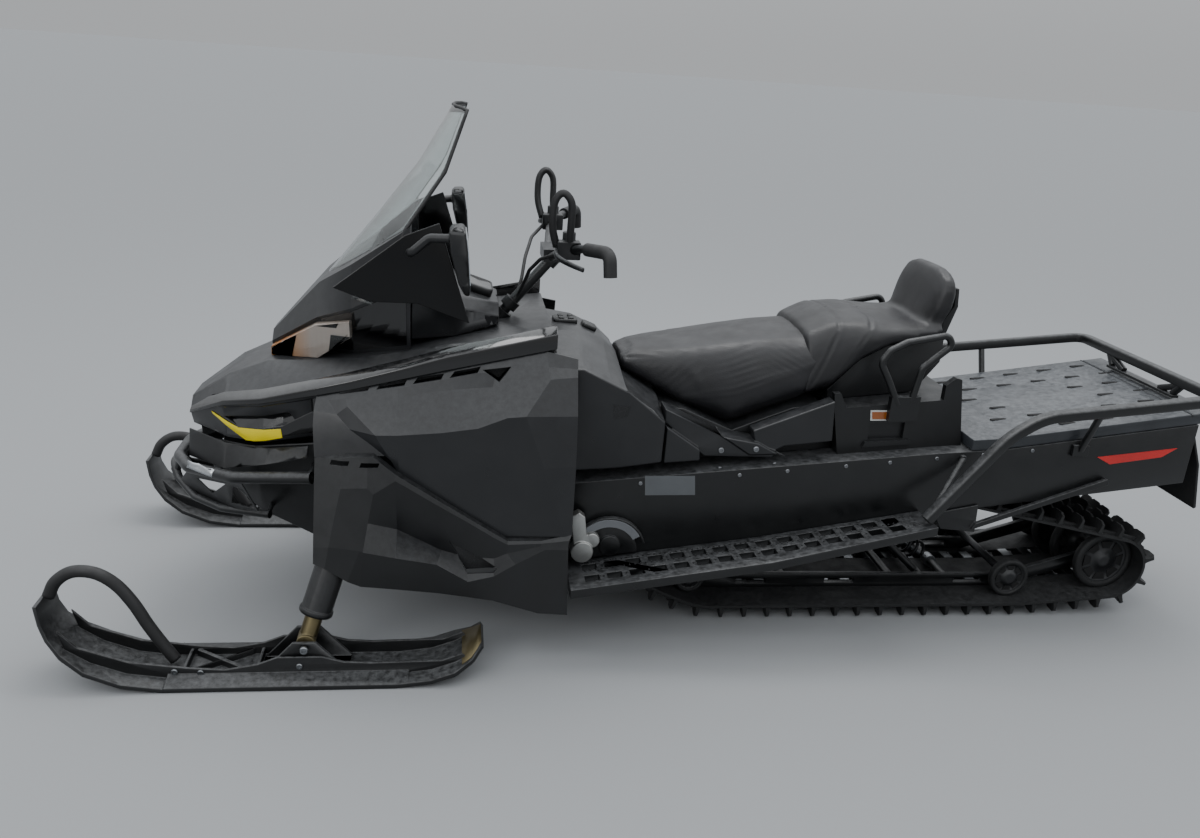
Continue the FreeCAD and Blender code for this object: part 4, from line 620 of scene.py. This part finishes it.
# Black covers on the hood's flanks, and black cheeks on the cowl's sides under the brow
cover_lift = 0.0015
cover_x = np.array([1.241, 1.19, 1.133, 1.08, 0.996, 0.95, 0.902, 0.85, 0.8])
edge_x = (-1.241, -1.133, -0.996, -0.902, -0.752)
covers = between(np.interp(-cover_x, edge_x, (0.528, 0.54, 0.572, 0.64, 0.718)),
                 np.interp(-cover_x, edge_x, (0.635, 0.664, 0.702, 0.726, 0.766)),
                 cover_x, (0.1, 0.35, 0.6, 0.9))
side_covers("hood_flank_covers", "hood", covers, cover_lift, gloss)
cheek_x = np.array([0.985, 0.95, 0.902, 0.85, 0.8, 0.762])
cheeks = between(np.interp(-cheek_x, edge_x[2:], (0.764, 0.78, 0.812)),
                 np.interp(-cheek_x, edge_x[2:], (0.874, 0.916, 0.996)), cheek_x, (0.08, 0.5, 0.93))
side_covers("cowl_cheeks", "cowl", cheeks, cover_lift, gloss)

# A bare metal badge on the bumper, its face on the left front
badge_way = np.array((-0.72, -0.69, 0.0))
rows = [[np.array((x, y, z)) - badge_way * 0.3 for z in (0.4415, 0.448, 0.4545, 0.461)]
        for x, y in zip(np.linspace(1.347, 1.268, 9), np.linspace(0.166, 0.238, 9))]
badge_metal = weathered(
    "brushed_metal_plate", "steel", "#c3c6c9 #b2b5b8 #8f9193", 0.28, 3, 0.04, 0.1, metallic=0.9)
part("bumper_badge", [laid_on("front_bumper", rows, badge_way, 0.0012)], badge_metal, smooth=True)


# Side panels and lower fairings: flat facets that meet in crisp moulded creases.
# Satin charcoal above, grained black below; each is a shell 6 mm thick through a grid of
# corners, with its louvres, slots and foot vent cut through and its creases rounded off.
def evaluated(piece):
    """A new mesh of what an object's modifiers make of it."""
    view = bpy.context.evaluated_depsgraph_get()
    return bpy.data.meshes.new_from_object(piece.evaluated_get(view))


def drilled(mesh, outlines, near, far):
    """The mesh with upright outlines (x, z) in mm cut through it between two places along y."""
    solids = [prism(np.array(line) / 1000, near, far) for line in outlines]
    cutter = placed("cutter", joined("cutter", solids))
    piece = placed(mesh.name + "_blank", mesh)
    cut = piece.modifiers.new("cut", "BOOLEAN")
    cut.operation = "DIFFERENCE"
    cut.solver = "MANIFOLD"
    cut.object = cutter
    made = evaluated(piece)
    made.name = mesh.name
    for thing in (cutter, piece):
        bpy.data.objects.remove(thing)
    return made


def creased_shells(name, columns, outlines, near, far, material, node, wall=0.006):
    """Both sides' shells through columns of corners (x, z, half width) in mm, each a ring that
    runs down outside and back up inside; drilled, with creases above 7 degrees rounded."""
    outer = np.array(columns, float)[..., (0, 2, 1)] / 1000
    shell = np.concatenate([outer, (outer - (0, wall, 0))[:, ::-1]], 1)
    mesh = joined(name, both(shell))
    for side in sides:
        mesh = drilled(mesh, outlines, *sorted((side * near, side * far)))
    rounded(piece_of(mesh, material, stands_for=(node,)), 0.005, 3, 7)


panel_corners = [
    [(985, 700, 306), (988, 684, 320), (990, 668, 332), (992, 631, 342), (989, 592, 360), (986, 557, 374)],
    [(960, 706, 310), (954, 694, 320), (932, 664, 345), (898, 634, 372), (850, 604, 388), (808, 574, 401)],
    [(916, 717, 318), (910, 703, 333), (904, 687, 350), (831, 631, 407), (815, 600, 405), (792, 562, 404)],
    [(778, 754, 332), (778, 738, 350), (778, 718, 362), (778, 636, 419), (775, 590, 414), (772, 528, 409)],
    [(668, 783, 340), (668, 764, 353), (668, 740, 366), (668, 648, 427), (668, 560, 421), (668, 460, 415)],
    [(592, 800, 337), (600, 782, 352), (606, 748, 368), (576, 663, 431), (592, 540, 425), (592, 412, 418)],
    [(525, 814, 333), (532, 790, 352), (540, 753, 366), (503, 694, 434), (500, 530, 429), (507, 358, 420)],
    [(403, 840, 327), (398, 806, 352), (394, 782, 383), (456, 698, 434), (405, 560, 439), (340, 362, 430)],
    [(321, 824, 336), (321, 800, 344), (321, 780, 354), (321, 690, 402), (321, 560, 426), (321, 366, 426)]]
fairing_corners = [
    [(985, 556, 376), (985, 500, 398), (985, 420, 424), (985, 340, 450), (985, 300, 462)],
    [(916, 569, 405), (916, 495, 430), (932, 420, 443), (946, 345, 458), (956, 288, 467)],
    [(850, 575, 415), (850, 500, 438), (858, 420, 450), (868, 338, 465), (900, 250, 466)],
    [(835, 576, 417), (835, 484, 440), (848, 410, 452), (860, 334, 466), (868, 229, 454)],
    [(781, 536, 431), (780, 520, 436), (778, 367, 398), (778, 318, 467), (778, 216, 446)],
    [(668, 463, 433), (668, 450, 437), (663, 310, 405), (674, 299, 466), (668, 204, 446)],
    [(592, 415, 434), (592, 404, 438), (600, 300, 422), (592, 244, 458), (592, 192, 446)],
    [(525, 373, 436), (525, 362, 440), (525, 300, 434), (525, 258, 455), (525, 181, 447)],
    [(491, 352, 436), (491, 343, 440), (491, 318, 440), (469, 289, 448), (491, 170, 447)],
    [(403, 352, 434), (403, 346, 439), (403, 339, 440), (392, 330, 443), (405, 143, 449)],
    [(321, 366, 426), (328, 352, 434), (330, 340, 438), (330, 328, 441), (324, 137, 450)]]
louvres = [[(x, z - 9), (x - 70, z + 6), (x - 78, z + 20), (x - 12, z + 6)]
           for x, z in ((925, 719), (833, 739), (741, 759), (649, 779))]
louvres.append([(566, 792), (494, 802), (524, 766)])
foot_vent = [(645, 345), (594, 262), (526, 266), (516, 278)]
openings = [[(x + 24, 548), (x - 22, 550), (x - 26, 562), (x + 20, 560)] for x in (921, 846)]
openings.append(foot_vent)
creased_shells("side_panel_facets", panel_corners, louvres, 0.25, 0.48, satin, "side_panels")
creased_shells("lower_fairing_facets", fairing_corners, openings, 0.33, 0.5, matte, "lower_fairings")

# The ledge between the panel's foot and the fairing's rim, and mesh plates behind the openings; their
# near-black cells are painted shade seen through the mesh
ledge = [[(x, y, z), (x, y - 26, z + 3), (x, y - 26, z - 3), (x, y - 3, z - 5)]
         for x, z, y in [column[0] for column in fairing_corners]]
part("fairing_ledges", both(np.array(ledge) / 1000), matte)
mesh_plates = []
for side in sides:
    for line, away in [(line, 0.318) for line in louvres] + [(foot_vent, 0.412)]:
        line = np.array(line) / 1000
        wide = line.mean(0) + (line - line.mean(0)) * 1.12
        mesh_plates.append(prism(wide, side * away, side * (away + 0.002)))
vent_mesh, tree, shader, place = surface("woven_vent_mesh", "matte_black_plastic", rough=0.6)
# Grey wires, the mesh's own colour, with near-black cells between them that are painted shade seen through
# the mesh
wires = add(tree, "TexVoronoi", {"Scale": 260.0, "feature": "DISTANCE_TO_EDGE"},
            {"Vector": place.outputs["Object"]})
wires_over_painted_shade = add(tree, "MapRange", {1: 0.02, 2: 0.12, 3: 1.0, 4: 0.0}, {0: wires})
feed(tree, shader, {"Base Color": mixed(tree, wires_over_painted_shade, {6: linear("#050506"), 7: linear("#2b2c2e")}, {})})
part("vent_meshes", mesh_plates, vent_mesh)


# Engine and cradle, drive cover and brake: castings and welded rails seen from below and
# through the openings. Die-cast aluminium with a dull, slightly porous skin. A grey moulded
# guard curves over the drive cover on the left.
cast = weathered(
    "die_cast_aluminium", "cast_aluminium", "#b4b5b3 #9b9c9a #8d8c88", 0.42, 3, 0.4, 0.3, metallic=0.9)
soft_edged(cast, [("engine_block", 6)], 3)
finished(powder_coat, "engine_cradle", "post_bearing", "front_bumper")
soft_edged(powder_coat, [("drive_cover", 2)])
soft_edged(cast, [("brake_caliper", 3)], 3)
guard = [[(0.201 + far * math.cos(at), y, 0.256 + far * math.sin(at))
          for far, y in ((0.078, 0.3115), (0.078, 0.3155), (0.1, 0.3155), (0.1, 0.3115))]
         for at in np.radians(np.linspace(150, 25, 26))]
grey_guard = weathered(
    "grey_moulded_plastic", "charcoal_plastic", "#6b6e72 #616468 #8f9193", 0.4, 2, 0.08, 0.1)
rounded(part("drive_guard", [guard], grey_guard), 0.001, use_clamp_overlap=False)


# Windshield, wind deflectors, headlamps and mirrors.
# The screen and lamp covers are clear polycarbonate, the deflectors smoked acrylic. The
# screen's rows are z, then x and half width at its middle, its bend and its edge.
clear = surface("clear_polycarbonate", "clear_plastic", "#e4ebea", 0.02, ior=1.45, transmission=1.0)[0]
shield_rows = np.array([(940, 1002, 963, 155, 851, 301), (1128, 851, 827, 146, 763, 278),
                        (1269, 743, 722, 132, 669, 246), (1423, 654, 647, 103, 616, 199)]) / 1000
sheet = []
for z in np.linspace(0.942, 1.42, 28):
    centre, mid, mid_y, far, far_y = (np.interp(z, shield_rows[:, 0], row) for row in shield_rows.T[1:])
    line = smooth_line([(far, -far_y, z), (mid, -mid_y, z), (centre, 0.0, z), (mid, mid_y, z),
                        (far, far_y, z)], 7)
    sheet.append(np.concatenate([line, (line - (0.0045, 0, 0))[::-1]]))
part("windshield_sheet", [sheet], clear, stands_for=("windshield",), smooth=True)
smoked = weathered(
    "smoked_acrylic", "matte_black_plastic", "#020203 #040405 #8a8c8f", 0.16, 20, 0.1, 0.05, ior=1.4)
soft_edged(smoked, [("wind_deflectors", 2)])
soft_edged(clear, [("headlamps", 3)], 3)

# Fluted reflectors inside the lamps. Their colour turns from pale silver to warm orange toward the front, a
# painted warm reflection of the light they gather
reflector, tree, shader, place = surface("aluminised_reflector", "clear_plastic", rough=0.22, metallic=0.35)
where = place.outputs["Object"]
axes = add(tree, "SeparateXYZ", {}, {0: where})
# Painted warm reflection: orange mixed into the reflectors' colour over their front 8 cm
painted_warm_reflection = add(tree, "MapRange", {1: 1.01, 2: 1.09}, {0: axes})
flutes = add(tree, "TexWave", {"Scale": 22.0, "bands_direction": "X", "Distortion": 0.4}, {"Vector": where})
relief = add(tree, "Bump", {"Strength": 0.35, "Distance": 0.0006}, {"Height": flutes})
feed(tree, shader, {"Base Color": mixed(tree, painted_warm_reflection, {6: linear("#d6c6bd"), 7: linear("#e09a50")}, {}),
                    "Normal": relief})
mesh = clean_copy("headlamps", "lamp_reflectors")
points = values(mesh)
for side in sides:
    half = points[:, 1] * side > 0
    middle = points[half].mean(0)
    points[half] = middle + (points[half] - middle) * 0.965
moved(mesh, points)
piece_of(mesh, reflector)
soft_edged(matte, [("mirrors", 6)], 3)

# A dark rubber edging round the screen, and glass set in the mirrors' rear faces: at each
# height the glass has a rear face, a near side and a far side
edge_line = [(845, 300.5, 950), (763, 278, 1128), (669, 246, 1269), (618, 200, 1416),
             (633, 150, 1419.5), (647, 103, 1420.5), (654, 0, 1420.5)]
edge_line = np.array(edge_line + [(x, -y, z) for x, y, z in edge_line[-2::-1]]) / 1000
runs = [np.linspace(a, b, 8, endpoint=False) for a, b in zip(edge_line, edge_line[1:])]
part("shield_edging", [swept(np.vstack(runs), 0.0042, 10)], grip_rubber, smooth=True)
mirror_glass = surface("silvered_glass", "steel", "#c9ced2", 0.03, metallic=1.0)[0]
mirror_z = (0.988, 1.02, 1.1, 1.148, 1.16)
glass = []
for z in np.linspace(1.000, 1.15, 9):
    rear = np.interp(z, mirror_z, (0.604, 0.604, 0.61, 0.616, 0.622))
    near = np.interp(z, mirror_z, (0.345, 0.322, 0.31, 0.318, 0.334)) + 0.009
    far = np.interp(z, mirror_z, (0.384, 0.404, 0.424, 0.42, 0.404)) - 0.009
    glass.append([(rear + 0.001, near, z), (rear - 0.002, near + 0.002, z),
                  (rear - 0.002, far - 0.002, z), (rear + 0.001, far, z)])
part("mirror_glasses", both(glass), mirror_glass)


# Steering: a steel post, a bent bar, heated rubber grips, hand hooks, switch housings, cables.
# Black enamel on the bar, soft rubber on the grips and hooks. Flat levers stand before the grips.
finished(powder_coat, "handlebar", "steering_post")
finished(grip_rubber, "handlebar_grips", "control_cables")
hook = [(384, 244, 1098), (398, 262, 1150), (396, 268, 1212), (376, 272, 1236),
        (354, 274, 1212), (352, 266, 1150), (352, 250, 1104)]
part("hook_straps", [swept(smooth_line(line, 6), 0.0085, 16, square=0.6) for line in both_mm(hook)],
     grip_rubber, body="handlebar", stands_for=("hand_hooks",), smooth=True)
soft_edged(matte, [("bar_controls", 4)], 3, body="handlebar")
lever = [(366, 232, 1092), (386, 262, 1086), (384, 306, 1080), (362, 352, 1074), (330, 394, 1068)]
levers = []
for line in both_mm(lever):
    line = smooth_line(line, 6)
    blade = swept(line, np.linspace(0.0062, 0.0042, len(line)), 10)
    levers.append((blade - line[:, None]) * (1.0, 1.0, 1.5) + line[:, None])
part("bar_levers", levers, powder_coat, body="handlebar", smooth=True)


# Seats: foam under stretched vinyl, sewn in panels; the driver's cushion, then the passenger's
# cushion and backrest in one form. Grained vinyl: nearly black, with a soft sheen, sunk seams
# and fine creases that fan out from them.
vinyl = weathered(
    "seat_vinyl", "seat_vinyl", "#141416 #1a1a1d #77797c", 0.42, 3, 0.4, 0.06)
# The covers' mesh size and the foam's pressure; the slope and the place (x, z) of the cushions' join
voxel, pressure = 0.009, 4.0
lean, join = 0.33, (-0.353, 0.672)


def cushion_rings(table, spots):
    """Rings of a cushion: heights and half widths of four corners, read from a table along x.

    A ring's place is x = spot - lean x (height - join height) x share, where the share grows
    from 0 at the first spot to 1 at the join. Each ring's corners are cut twice, at a quarter
    and three quarters of each side.
    """
    table = np.array(table)[::-1] / 1000
    x, heights, halves = table[:, 0], table[:, 1::2].T, table[:, 2::2].T
    share = np.clip((spots - spots[0]) / (join[0] - spots[0]), 0, 1) ** 2
    corner_z = np.stack([np.interp(spots, x, h) for h in heights], 1)
    for _ in range(3):
        corner_x = spots[:, None] - lean * (corner_z - join[1]) * share[:, None]
        corner_z = np.stack([np.interp(corner_x[:, i], x, h) for i, h in enumerate(heights)], 1)
    corner_y = np.stack([np.interp(corner_x[:, i], x, h) for i, h in enumerate(halves)], 1)
    left = np.stack([corner_x, corner_y, corner_z], -1)
    crown = left[:, -1:] * (1, 0, 1) + (0, 0, 0.005)
    ring = np.concatenate([left[:, :1] * (1, 0, 1), left, crown, left[:, ::-1] * (1, -1, 1)], 1)
    for _ in range(2):
        after = np.roll(ring, -1, axis=1)
        ring = np.stack([ring * 0.75 + after * 0.25, ring * 0.25 + after * 0.75], 2)
        ring = ring.reshape(len(spots), -1, 3)
    return ring


def closed_ends(grid, bulge):
    """Adds shrinking rings at both ends, pushed out along x by bulge x sqrt(1 - share squared)."""
    shares = np.array([0.4, 0.7, 0.88, 0.97])
    caps = []
    for ring, way in ((grid[0], 1.0), (grid[-1], -1.0)):
        middle = ring.mean(0)
        cap = middle + (ring - middle) * shares[:, None, None]
        cap[..., 0] += way * bulge * np.sqrt(1 - shares ** 2)[:, None]
        caps.append(cap)
    return np.concatenate([caps[0], grid, caps[1][::-1]], 0)


def puffed(mesh, cap):
    """The cushion's cover under the foam's pressure: remeshed, simulated as cloth for 20
    frames with no weight, and each point's movement cut off at the cap."""
    piece = placed(mesh.name + "_cover", mesh)
    remesh = piece.modifiers.new("remesh", "REMESH")
    remesh.mode = "VOXEL"
    remesh.voxel_size = voxel
    start = evaluated(piece)
    piece.modifiers.clear()
    piece.data = start
    rest = values(start)
    settings = piece.modifiers.new("cover", "CLOTH").settings
    settings.use_pressure = True
    settings.uniform_pressure_force = pressure
    settings.effector_weights.gravity = 0.0
    settings.tension_stiffness = settings.compression_stiffness = 20
    settings.bending_stiffness = 1.0
    for number in range(1, 21):
        bpy.context.scene.frame_set(number)
    step = values(piece.evaluated_get(bpy.context.evaluated_depsgraph_get()).data) - rest
    far = np.linalg.norm(step, axis=1, keepdims=True)
    rest = rest + step * np.minimum(1.0, cap / np.maximum(far, 1e-9))
    piece.modifiers.clear()
    bpy.context.scene.frame_set(1)
    moved(start, rest)
    bpy.data.objects.remove(piece)
    return start


def smoother(mesh, rounds):
    """Evens a mesh: each point moves halfway to the mean of its neighbours, each round."""
    edges = np.zeros(len(mesh.edges) * 2, np.int32)
    mesh.edges.foreach_get("vertices", edges)
    a, b = edges.reshape(-1, 2).T
    points = values(mesh)
    count = len(points)
    degree = (np.bincount(a, minlength=count) + np.bincount(b, minlength=count))[:, None]
    for _ in range(rounds):
        total = np.stack([np.bincount(a, points[b, i], count) + np.bincount(b, points[a, i], count)
                          for i in range(3)], 1)
        points = points * 0.5 + 0.5 * total / degree
    moved(mesh, points)


def sewn(mesh, seams, depth, folds=(), width=0.005):
    """Sinks seams and presses folds into a cover, along its normals.

    Sink = depth x exp(-(distance to seam / width)^2), with a low roll at twice the width. A
    fold is (middle, direction, length, spacing, height): ridges of that spacing square to
    the direction, fading by exp(-(distance / length)^2).
    """
    piece = placed("sewing", mesh)
    finer = piece.modifiers.new("finer", "SUBSURF")
    finer.levels = finer.render_levels = 1
    made = evaluated(piece)
    bpy.data.objects.remove(piece)
    made.name = mesh.name
    points, normals = values(made), values(made, "normal")
    push = np.zeros(len(points))
    for seam in seams:
        start, step = seam[:-1], np.diff(seam, axis=0)
        share = np.einsum("nki,ki->nk", points[:, None] - start, step) / (step ** 2).sum(1)
        near = start + step * np.clip(share, 0, 1)[..., None]
        far = np.linalg.norm(points[:, None] - near, axis=2).min(1)
        push -= depth * np.exp(-(far / width) ** 2)
        push += depth * 0.35 * np.exp(-((far - 2.2 * width) / width) ** 2)
    for middle, way, length, spacing, height in folds:
        offset = points - middle
        run = offset @ unit(np.array(way))
        fade = np.exp(-(np.linalg.norm(offset, axis=1) / length) ** 2)
        push += height * fade * np.sin(run / spacing * 2 * np.pi + 2.0 * np.sin(offset[:, 0] * 23))
    moved(made, points + normals * push[:, None])
    shaded_smooth(made)
    return made


driver_table = [
    (172, 733, 88, 748, 102, 762, 96, 774, 52),
    (80, 690, 124, 706, 142, 776, 128, 787, 72),
    (-7, 648, 152, 664, 170, 788, 150, 799, 84),
    (-154, 587, 180, 694, 192, 810, 161, 825, 92),
    (-256, 630, 190, 742, 196, 825, 165, 841, 95),
    (-440, 711, 196, 804, 196, 844, 169, 860, 95)]
driver = closed_ends(cushion_rings(driver_table, np.linspace(0.168, -0.349, 40)), 0.008)
cover = puffed(joined("driver_cushion", [driver], smooth=True), 0.006)
smoother(cover, 1)
seams = both_mm([
    (150, 94, 766), (60, 130, 782), (-10, 150, 791), (-150, 163, 813), (-256, 168, 828), (-420, 172, 846)])
seams += both_mm([(-10, 170, 664), (-80, 182, 684), (-154, 192, 700), (-256, 198, 744), (-400, 198, 793)])
folds = [(middle, *fold) for at, *fold in (
    ((20, 160, 740), (0.8, 0, 1.0), 0.05, 0.021, 0.0003),
    ((-170, 170, 780), (0.25, 0, 1.0), 0.06, 0.017, 0.00035),
    ((-300, 180, 790), (-0.6, 0, 1.0), 0.05, 0.015, 0.0003)) for middle in both_mm(at)]
driver_cover = piece_of(sewn(cover, seams, 0.0028, folds), vinyl, stands_for=("driver_seat",))

# The passenger's cushion rises to a crest at its front, dips, and runs up into the backrest
pillion_table = [
    (-340, 676, 188, 718, 198, 844, 160, 856, 82),
    (-385, 690, 192, 748, 200, 868, 164, 880, 88),
    (-430, 704, 194, 784, 201, 888, 166, 901, 95),
    (-520, 796, 188, 844, 197, 894, 175, 908, 105),
    (-600, 842, 181, 864, 189, 889, 178, 903, 110),
    (-680, 858, 174, 872, 182, 891, 172, 899, 112),
    (-762, 874, 160, 884, 170, 896, 160, 904, 112)]
cushion = closed_ends(cushion_rings(pillion_table, np.linspace(-0.357, -0.76, 36)), 0.006)
# The backrest's rings are rounded rectangles, (|cos|^0.62, |sin|^0.62) x half sizes: each row
# is z, front, rear and half width
back_rows = np.array([
    (850, -686, -772, 128), (880, -690, -776, 140), (906, -700, -780, 148), (950, -714, -794, 160),
    (1000, -726, -792, 157), (1030, -733, -785, 140), (1048, -738, -779, 108), (1057, -744, -772, 66)]) / 1000
levels = np.concatenate([np.linspace(0.85, 1.03, 16), np.linspace(1.036, 1.057, 6)])
front, rear, half = (np.interp(levels, back_rows[:, 0], row)[:, None] for row in back_rows.T[1:])
deep, across = circle(56, 0.62)
upright = np.stack([(front + rear) / 2 + (front - rear) / 2 * deep, half * across,
                    levels[:, None] + 0 * deep], -1)
cover = puffed(joined("passenger_cushion", [cushion, upright], smooth=True), 0.005)
smoother(cover, 3)
seams = []
for seam in ([(-360, 196, 700), (-405, 190, 800), (-440, 168, 882), (-448, 120, 904), (-450, 0, 912)],
             [(-440, 200, 735), (-490, 198, 830), (-530, 180, 890), (-545, 120, 908), (-548, 0, 914)],
             [(-700, 150, 905), (-742, 164, 950), (-752, 160, 1000), (-756, 140, 1034), (-758, 80, 1058)]):
    seams += both_mm(seam)
passenger_cover = piece_of(sewn(cover, seams, 0.0024), vinyl, stands_for=("passenger_seat", "backrest"))
soft_edged(matte, [("seat_base", 3), ("pillion_base", 3), ("backrest_shell", 3)])


# Storage box, side trims and grab handles behind the tank.
# Moulded polypropylene; the handles are bent steel tube, dipped black. The tank's cover has
# small meshed vents, and the box an amber reflector in a pale rim on each side.
finished(matte, "storage_box")
soft_edged(satin, [("side_trims", 4)], 3)
finished(powder_coat, "grab_handles")
screws("trim_screws", from_sides("side_trims", ((-0.107, 0.549), (-0.206, 0.556)), 0.4), 0.0085, bright_zinc)
vent = [[(0.217, 0.5, 0.693), (0.212, 0.5, 0.649)], [(0.165, 0.5, 0.688), (0.175, 0.5, 0.656)]]
side_covers("tank_vents", "rear_cover", vent, 0.0012, vent_mesh)
amber = weathered(
    "amber_reflector_plastic", "clear_plastic", "#8a4a14 #7a4012 #9a8f80", 0.2, 4, 0.3, 0.1, coat=0.5)
pale = weathered(
    "pale_moulded_plastic", "charcoal_plastic", "#b9bab8 #a9aaa8 #8f8f8c", 0.4, 3, 0.05, 0.2)
for name, material, grow, out in (("box_reflector_rims", pale, 0.0, 0.0022),
                                  ("box_reflectors", amber, 0.0045, 0.0032)):
    corners = ((-0.541 - grow, 0.667 - grow), (-0.641 + grow, 0.669 - grow),
               (-0.645 + grow, 0.638 + grow), (-0.545 - grow, 0.636 + grow))
    part(name, both(prism(corners, 0.231, 0.233 + out)), material)


# Rear deck, rack hoop, snow flap and tail lamp.
# The deck is a moulded plastic tray with long slots in staggered rows, shown as thin near-black plates of
# painted shade; the rack is bent steel tube with black enamel.
deck_plastic = weathered(
    "moulded_deck_plastic", "matte_black_plastic", "#2a2d31 #34373b #9a9da0", 0.36, 3, 0.2, 0.4)
soft_edged(deck_plastic, [("cargo_deck", 3)])
c, s = circle(20)
slot_line = np.stack([c * 0.007 + np.where(c > 0, 0.021, -0.021), s * 0.007], -1)
deck_slots = []
for row in range(5):
    for column in range(6):
        x, y = -0.997 - row * 0.118 - (column % 2) * 0.046, (column - 2.5) * 0.092
        hit = met("cargo_deck", (x, y + 0.008, 1.0), (0, 0, -1))
        if hit and not (abs(y) < 0.06 and row in (1, 2)):
            deck_slots.append([[(x + a, y + b, hit[0][2] - 0.075 * a + lift) for a, b in slot_line]
                               for lift in (-0.002, 0.0009)])
# The slots are thin plates of painted shade, standing in for openings in the deck
part("deck_slots", deck_slots, shade)


def bent(points, reach, steps=8):
    """A line with its corners turned into curves: each is a parabola that leaves the straight
    parts at the given reach from the corner."""
    points = np.array(points, float)
    made = [points[:1]]
    for before, corner, after in zip(points[:-2], points[1:-1], points[2:]):
        a, b = (corner + unit(end - corner) * reach for end in (before, after))
        t = np.linspace(0, 1, steps)[:, None]
        made.append((1 - t) ** 2 * a + 2 * t * (1 - t) * corner + t ** 2 * b)
    return np.concatenate(made + [points[-1:]])


# The hoop, then each side's stays with their radii, and flat feet
hoop = [(-684, 397, 399), (-905, 357, 635), (-1000, 357, 697), (-1542, 348, 758)]
hoop = np.array(hoop + [(x, -y, z) for x, y, z in hoop[::-1]]) / 1000
bars = [swept(bent(hoop, 0.045), 0.0155, 24, square=0.45)]
stays = ((0.009, [(-1175, 296, 577), (-1175, 352, 714)]), (0.009, [(-815, 289.5, 548), (-815, 304, 548)]),
         (0.008, [(-815, 300, 548), (-690, 396, 401)]), (0.01, [(-1541, 150, 713), (-1542, 182, 750)]),
         (0.01, [(-1541, 90, 713), (-1542, 182, 748)]))
bars += [swept(line, radius, 16, square=0.6) for radius, stay in stays for line in both_mm(stay)]
bars += both_mm([[(x, y, z) for x, y in ((-1200, 289.5), (-1150, 289.5), (-1150, 301), (-1200, 301))]
                 for z in (560, 594)])
bars.append(prism(((-1.552, 0.7035), (-1.528, 0.7035), (-1.528, 0.712), (-1.552, 0.712)), -0.165, 0.165))
rack = part("rack_bars", bars, powder_coat, stands_for=("rack_hoop",), smooth=True)
rounded(rack, 0.0015, use_clamp_overlap=False)
soft_edged(rubber, [("snow_flap", 1.5)])
flap_ribs = []
for y in np.arange(-3, 4) * 0.07:
    line = [met("snow_flap", (-2.0, y, z), (1, 0, 0))[0] + (0.0008, 0, 0)
            for z in np.linspace(0.4, 0.62, 12)]
    flap_ribs.append(swept(line, 0.0034, 8))
part("flap_ribs", flap_ribs, rubber, smooth=True)
lamp_red = weathered(
    "red_lens_plastic", "red_plastic", "#c3150f #a9110c #8a8c8f", 0.15, 10, 0.1, 0.1, coat=0.5)
soft_edged(lamp_red, [("tail_lamp", 2)])
corners = ((-1.239, 0.555), (-1.49, 0.587), (-1.446, 0.558), (-1.284, 0.533))
part("side_reflectors", both(prism(corners, 0.286, 0.2905)), lamp_red)


# Floor, light and camera: a plain floor that runs to the horizon, a sky that brightens from
# the horizon, where it matches the far floor, to the zenith, two soft lamps and the
# photograph's view.
mesh = bpy.data.meshes.new("floor")
floor_reach, floor_z = 400, -0.0005
corners = [(a * floor_reach, b * floor_reach, floor_z) for a, b in ((-1, -1), (1, -1), (1, 1), (-1, 1))]
mesh.from_pydata(corners, [], [(0, 1, 2, 3)])
mesh.materials.append(surface("pale_floor", "floor", "#8c8e90", 0.9)[0])
placed("floor", mesh)

world = bpy.data.worlds.new("studio")
bpy.context.scene.world = world
world.use_nodes = True
tree = world.node_tree
way = add(tree, "TexCoord", {}, {})
parts = add(tree, "SeparateXYZ", {}, {0: way.outputs["Generated"]})
rise = add(tree, "MapRange", {"interpolation_type": "SMOOTHSTEP", 1: 0.0, 2: 0.8, 3: 0.5, 4: 1.9},
           {0: parts.outputs[2]})
backdrop = tree.nodes["Background"]
backdrop.inputs[0].default_value = linear("#f2f5f8")
feed(tree, backdrop, {1: rise})
for name, place, target, wide, tall, power in (
        ("front_left", (4.6, 4.4, 3.4), (0.4, 0, 0.5), 2.2, 1.6, 50.0),
        ("above", (-0.3, -0.8, 4.6), (0, 0, 0.5), 3.6, 1.6, 90.0)):
    lamp = bpy.data.lights.new(name, "AREA")
    lamp.shape = "RECTANGLE"
    lamp.size, lamp.size_y, lamp.energy = wide, tall, power
    source = placed(name, lamp)
    source.location = place
    way = np.array(target) - np.array(place)
    source.rotation_euler = (math.atan2(math.hypot(way[0], way[1]), -way[2]), 0.0,
                             math.atan2(way[1], way[0]) - math.pi / 2)

view = bpy.data.cameras.new("photo_view")
view.sensor_width = 36.0
view.lens = 30.0
camera = placed("photo_view", view)
camera.matrix_world = Matrix([(-0.98925, 0.01866, 0.14502, 0.6378), (0.13024, -0.33839, 0.93195, 2.8042),
                              (0.06647, 0.94082, 0.33233, 1.5416), (0.0, 0.0, 0.0, 1.0)])
bpy.context.scene.camera = camera
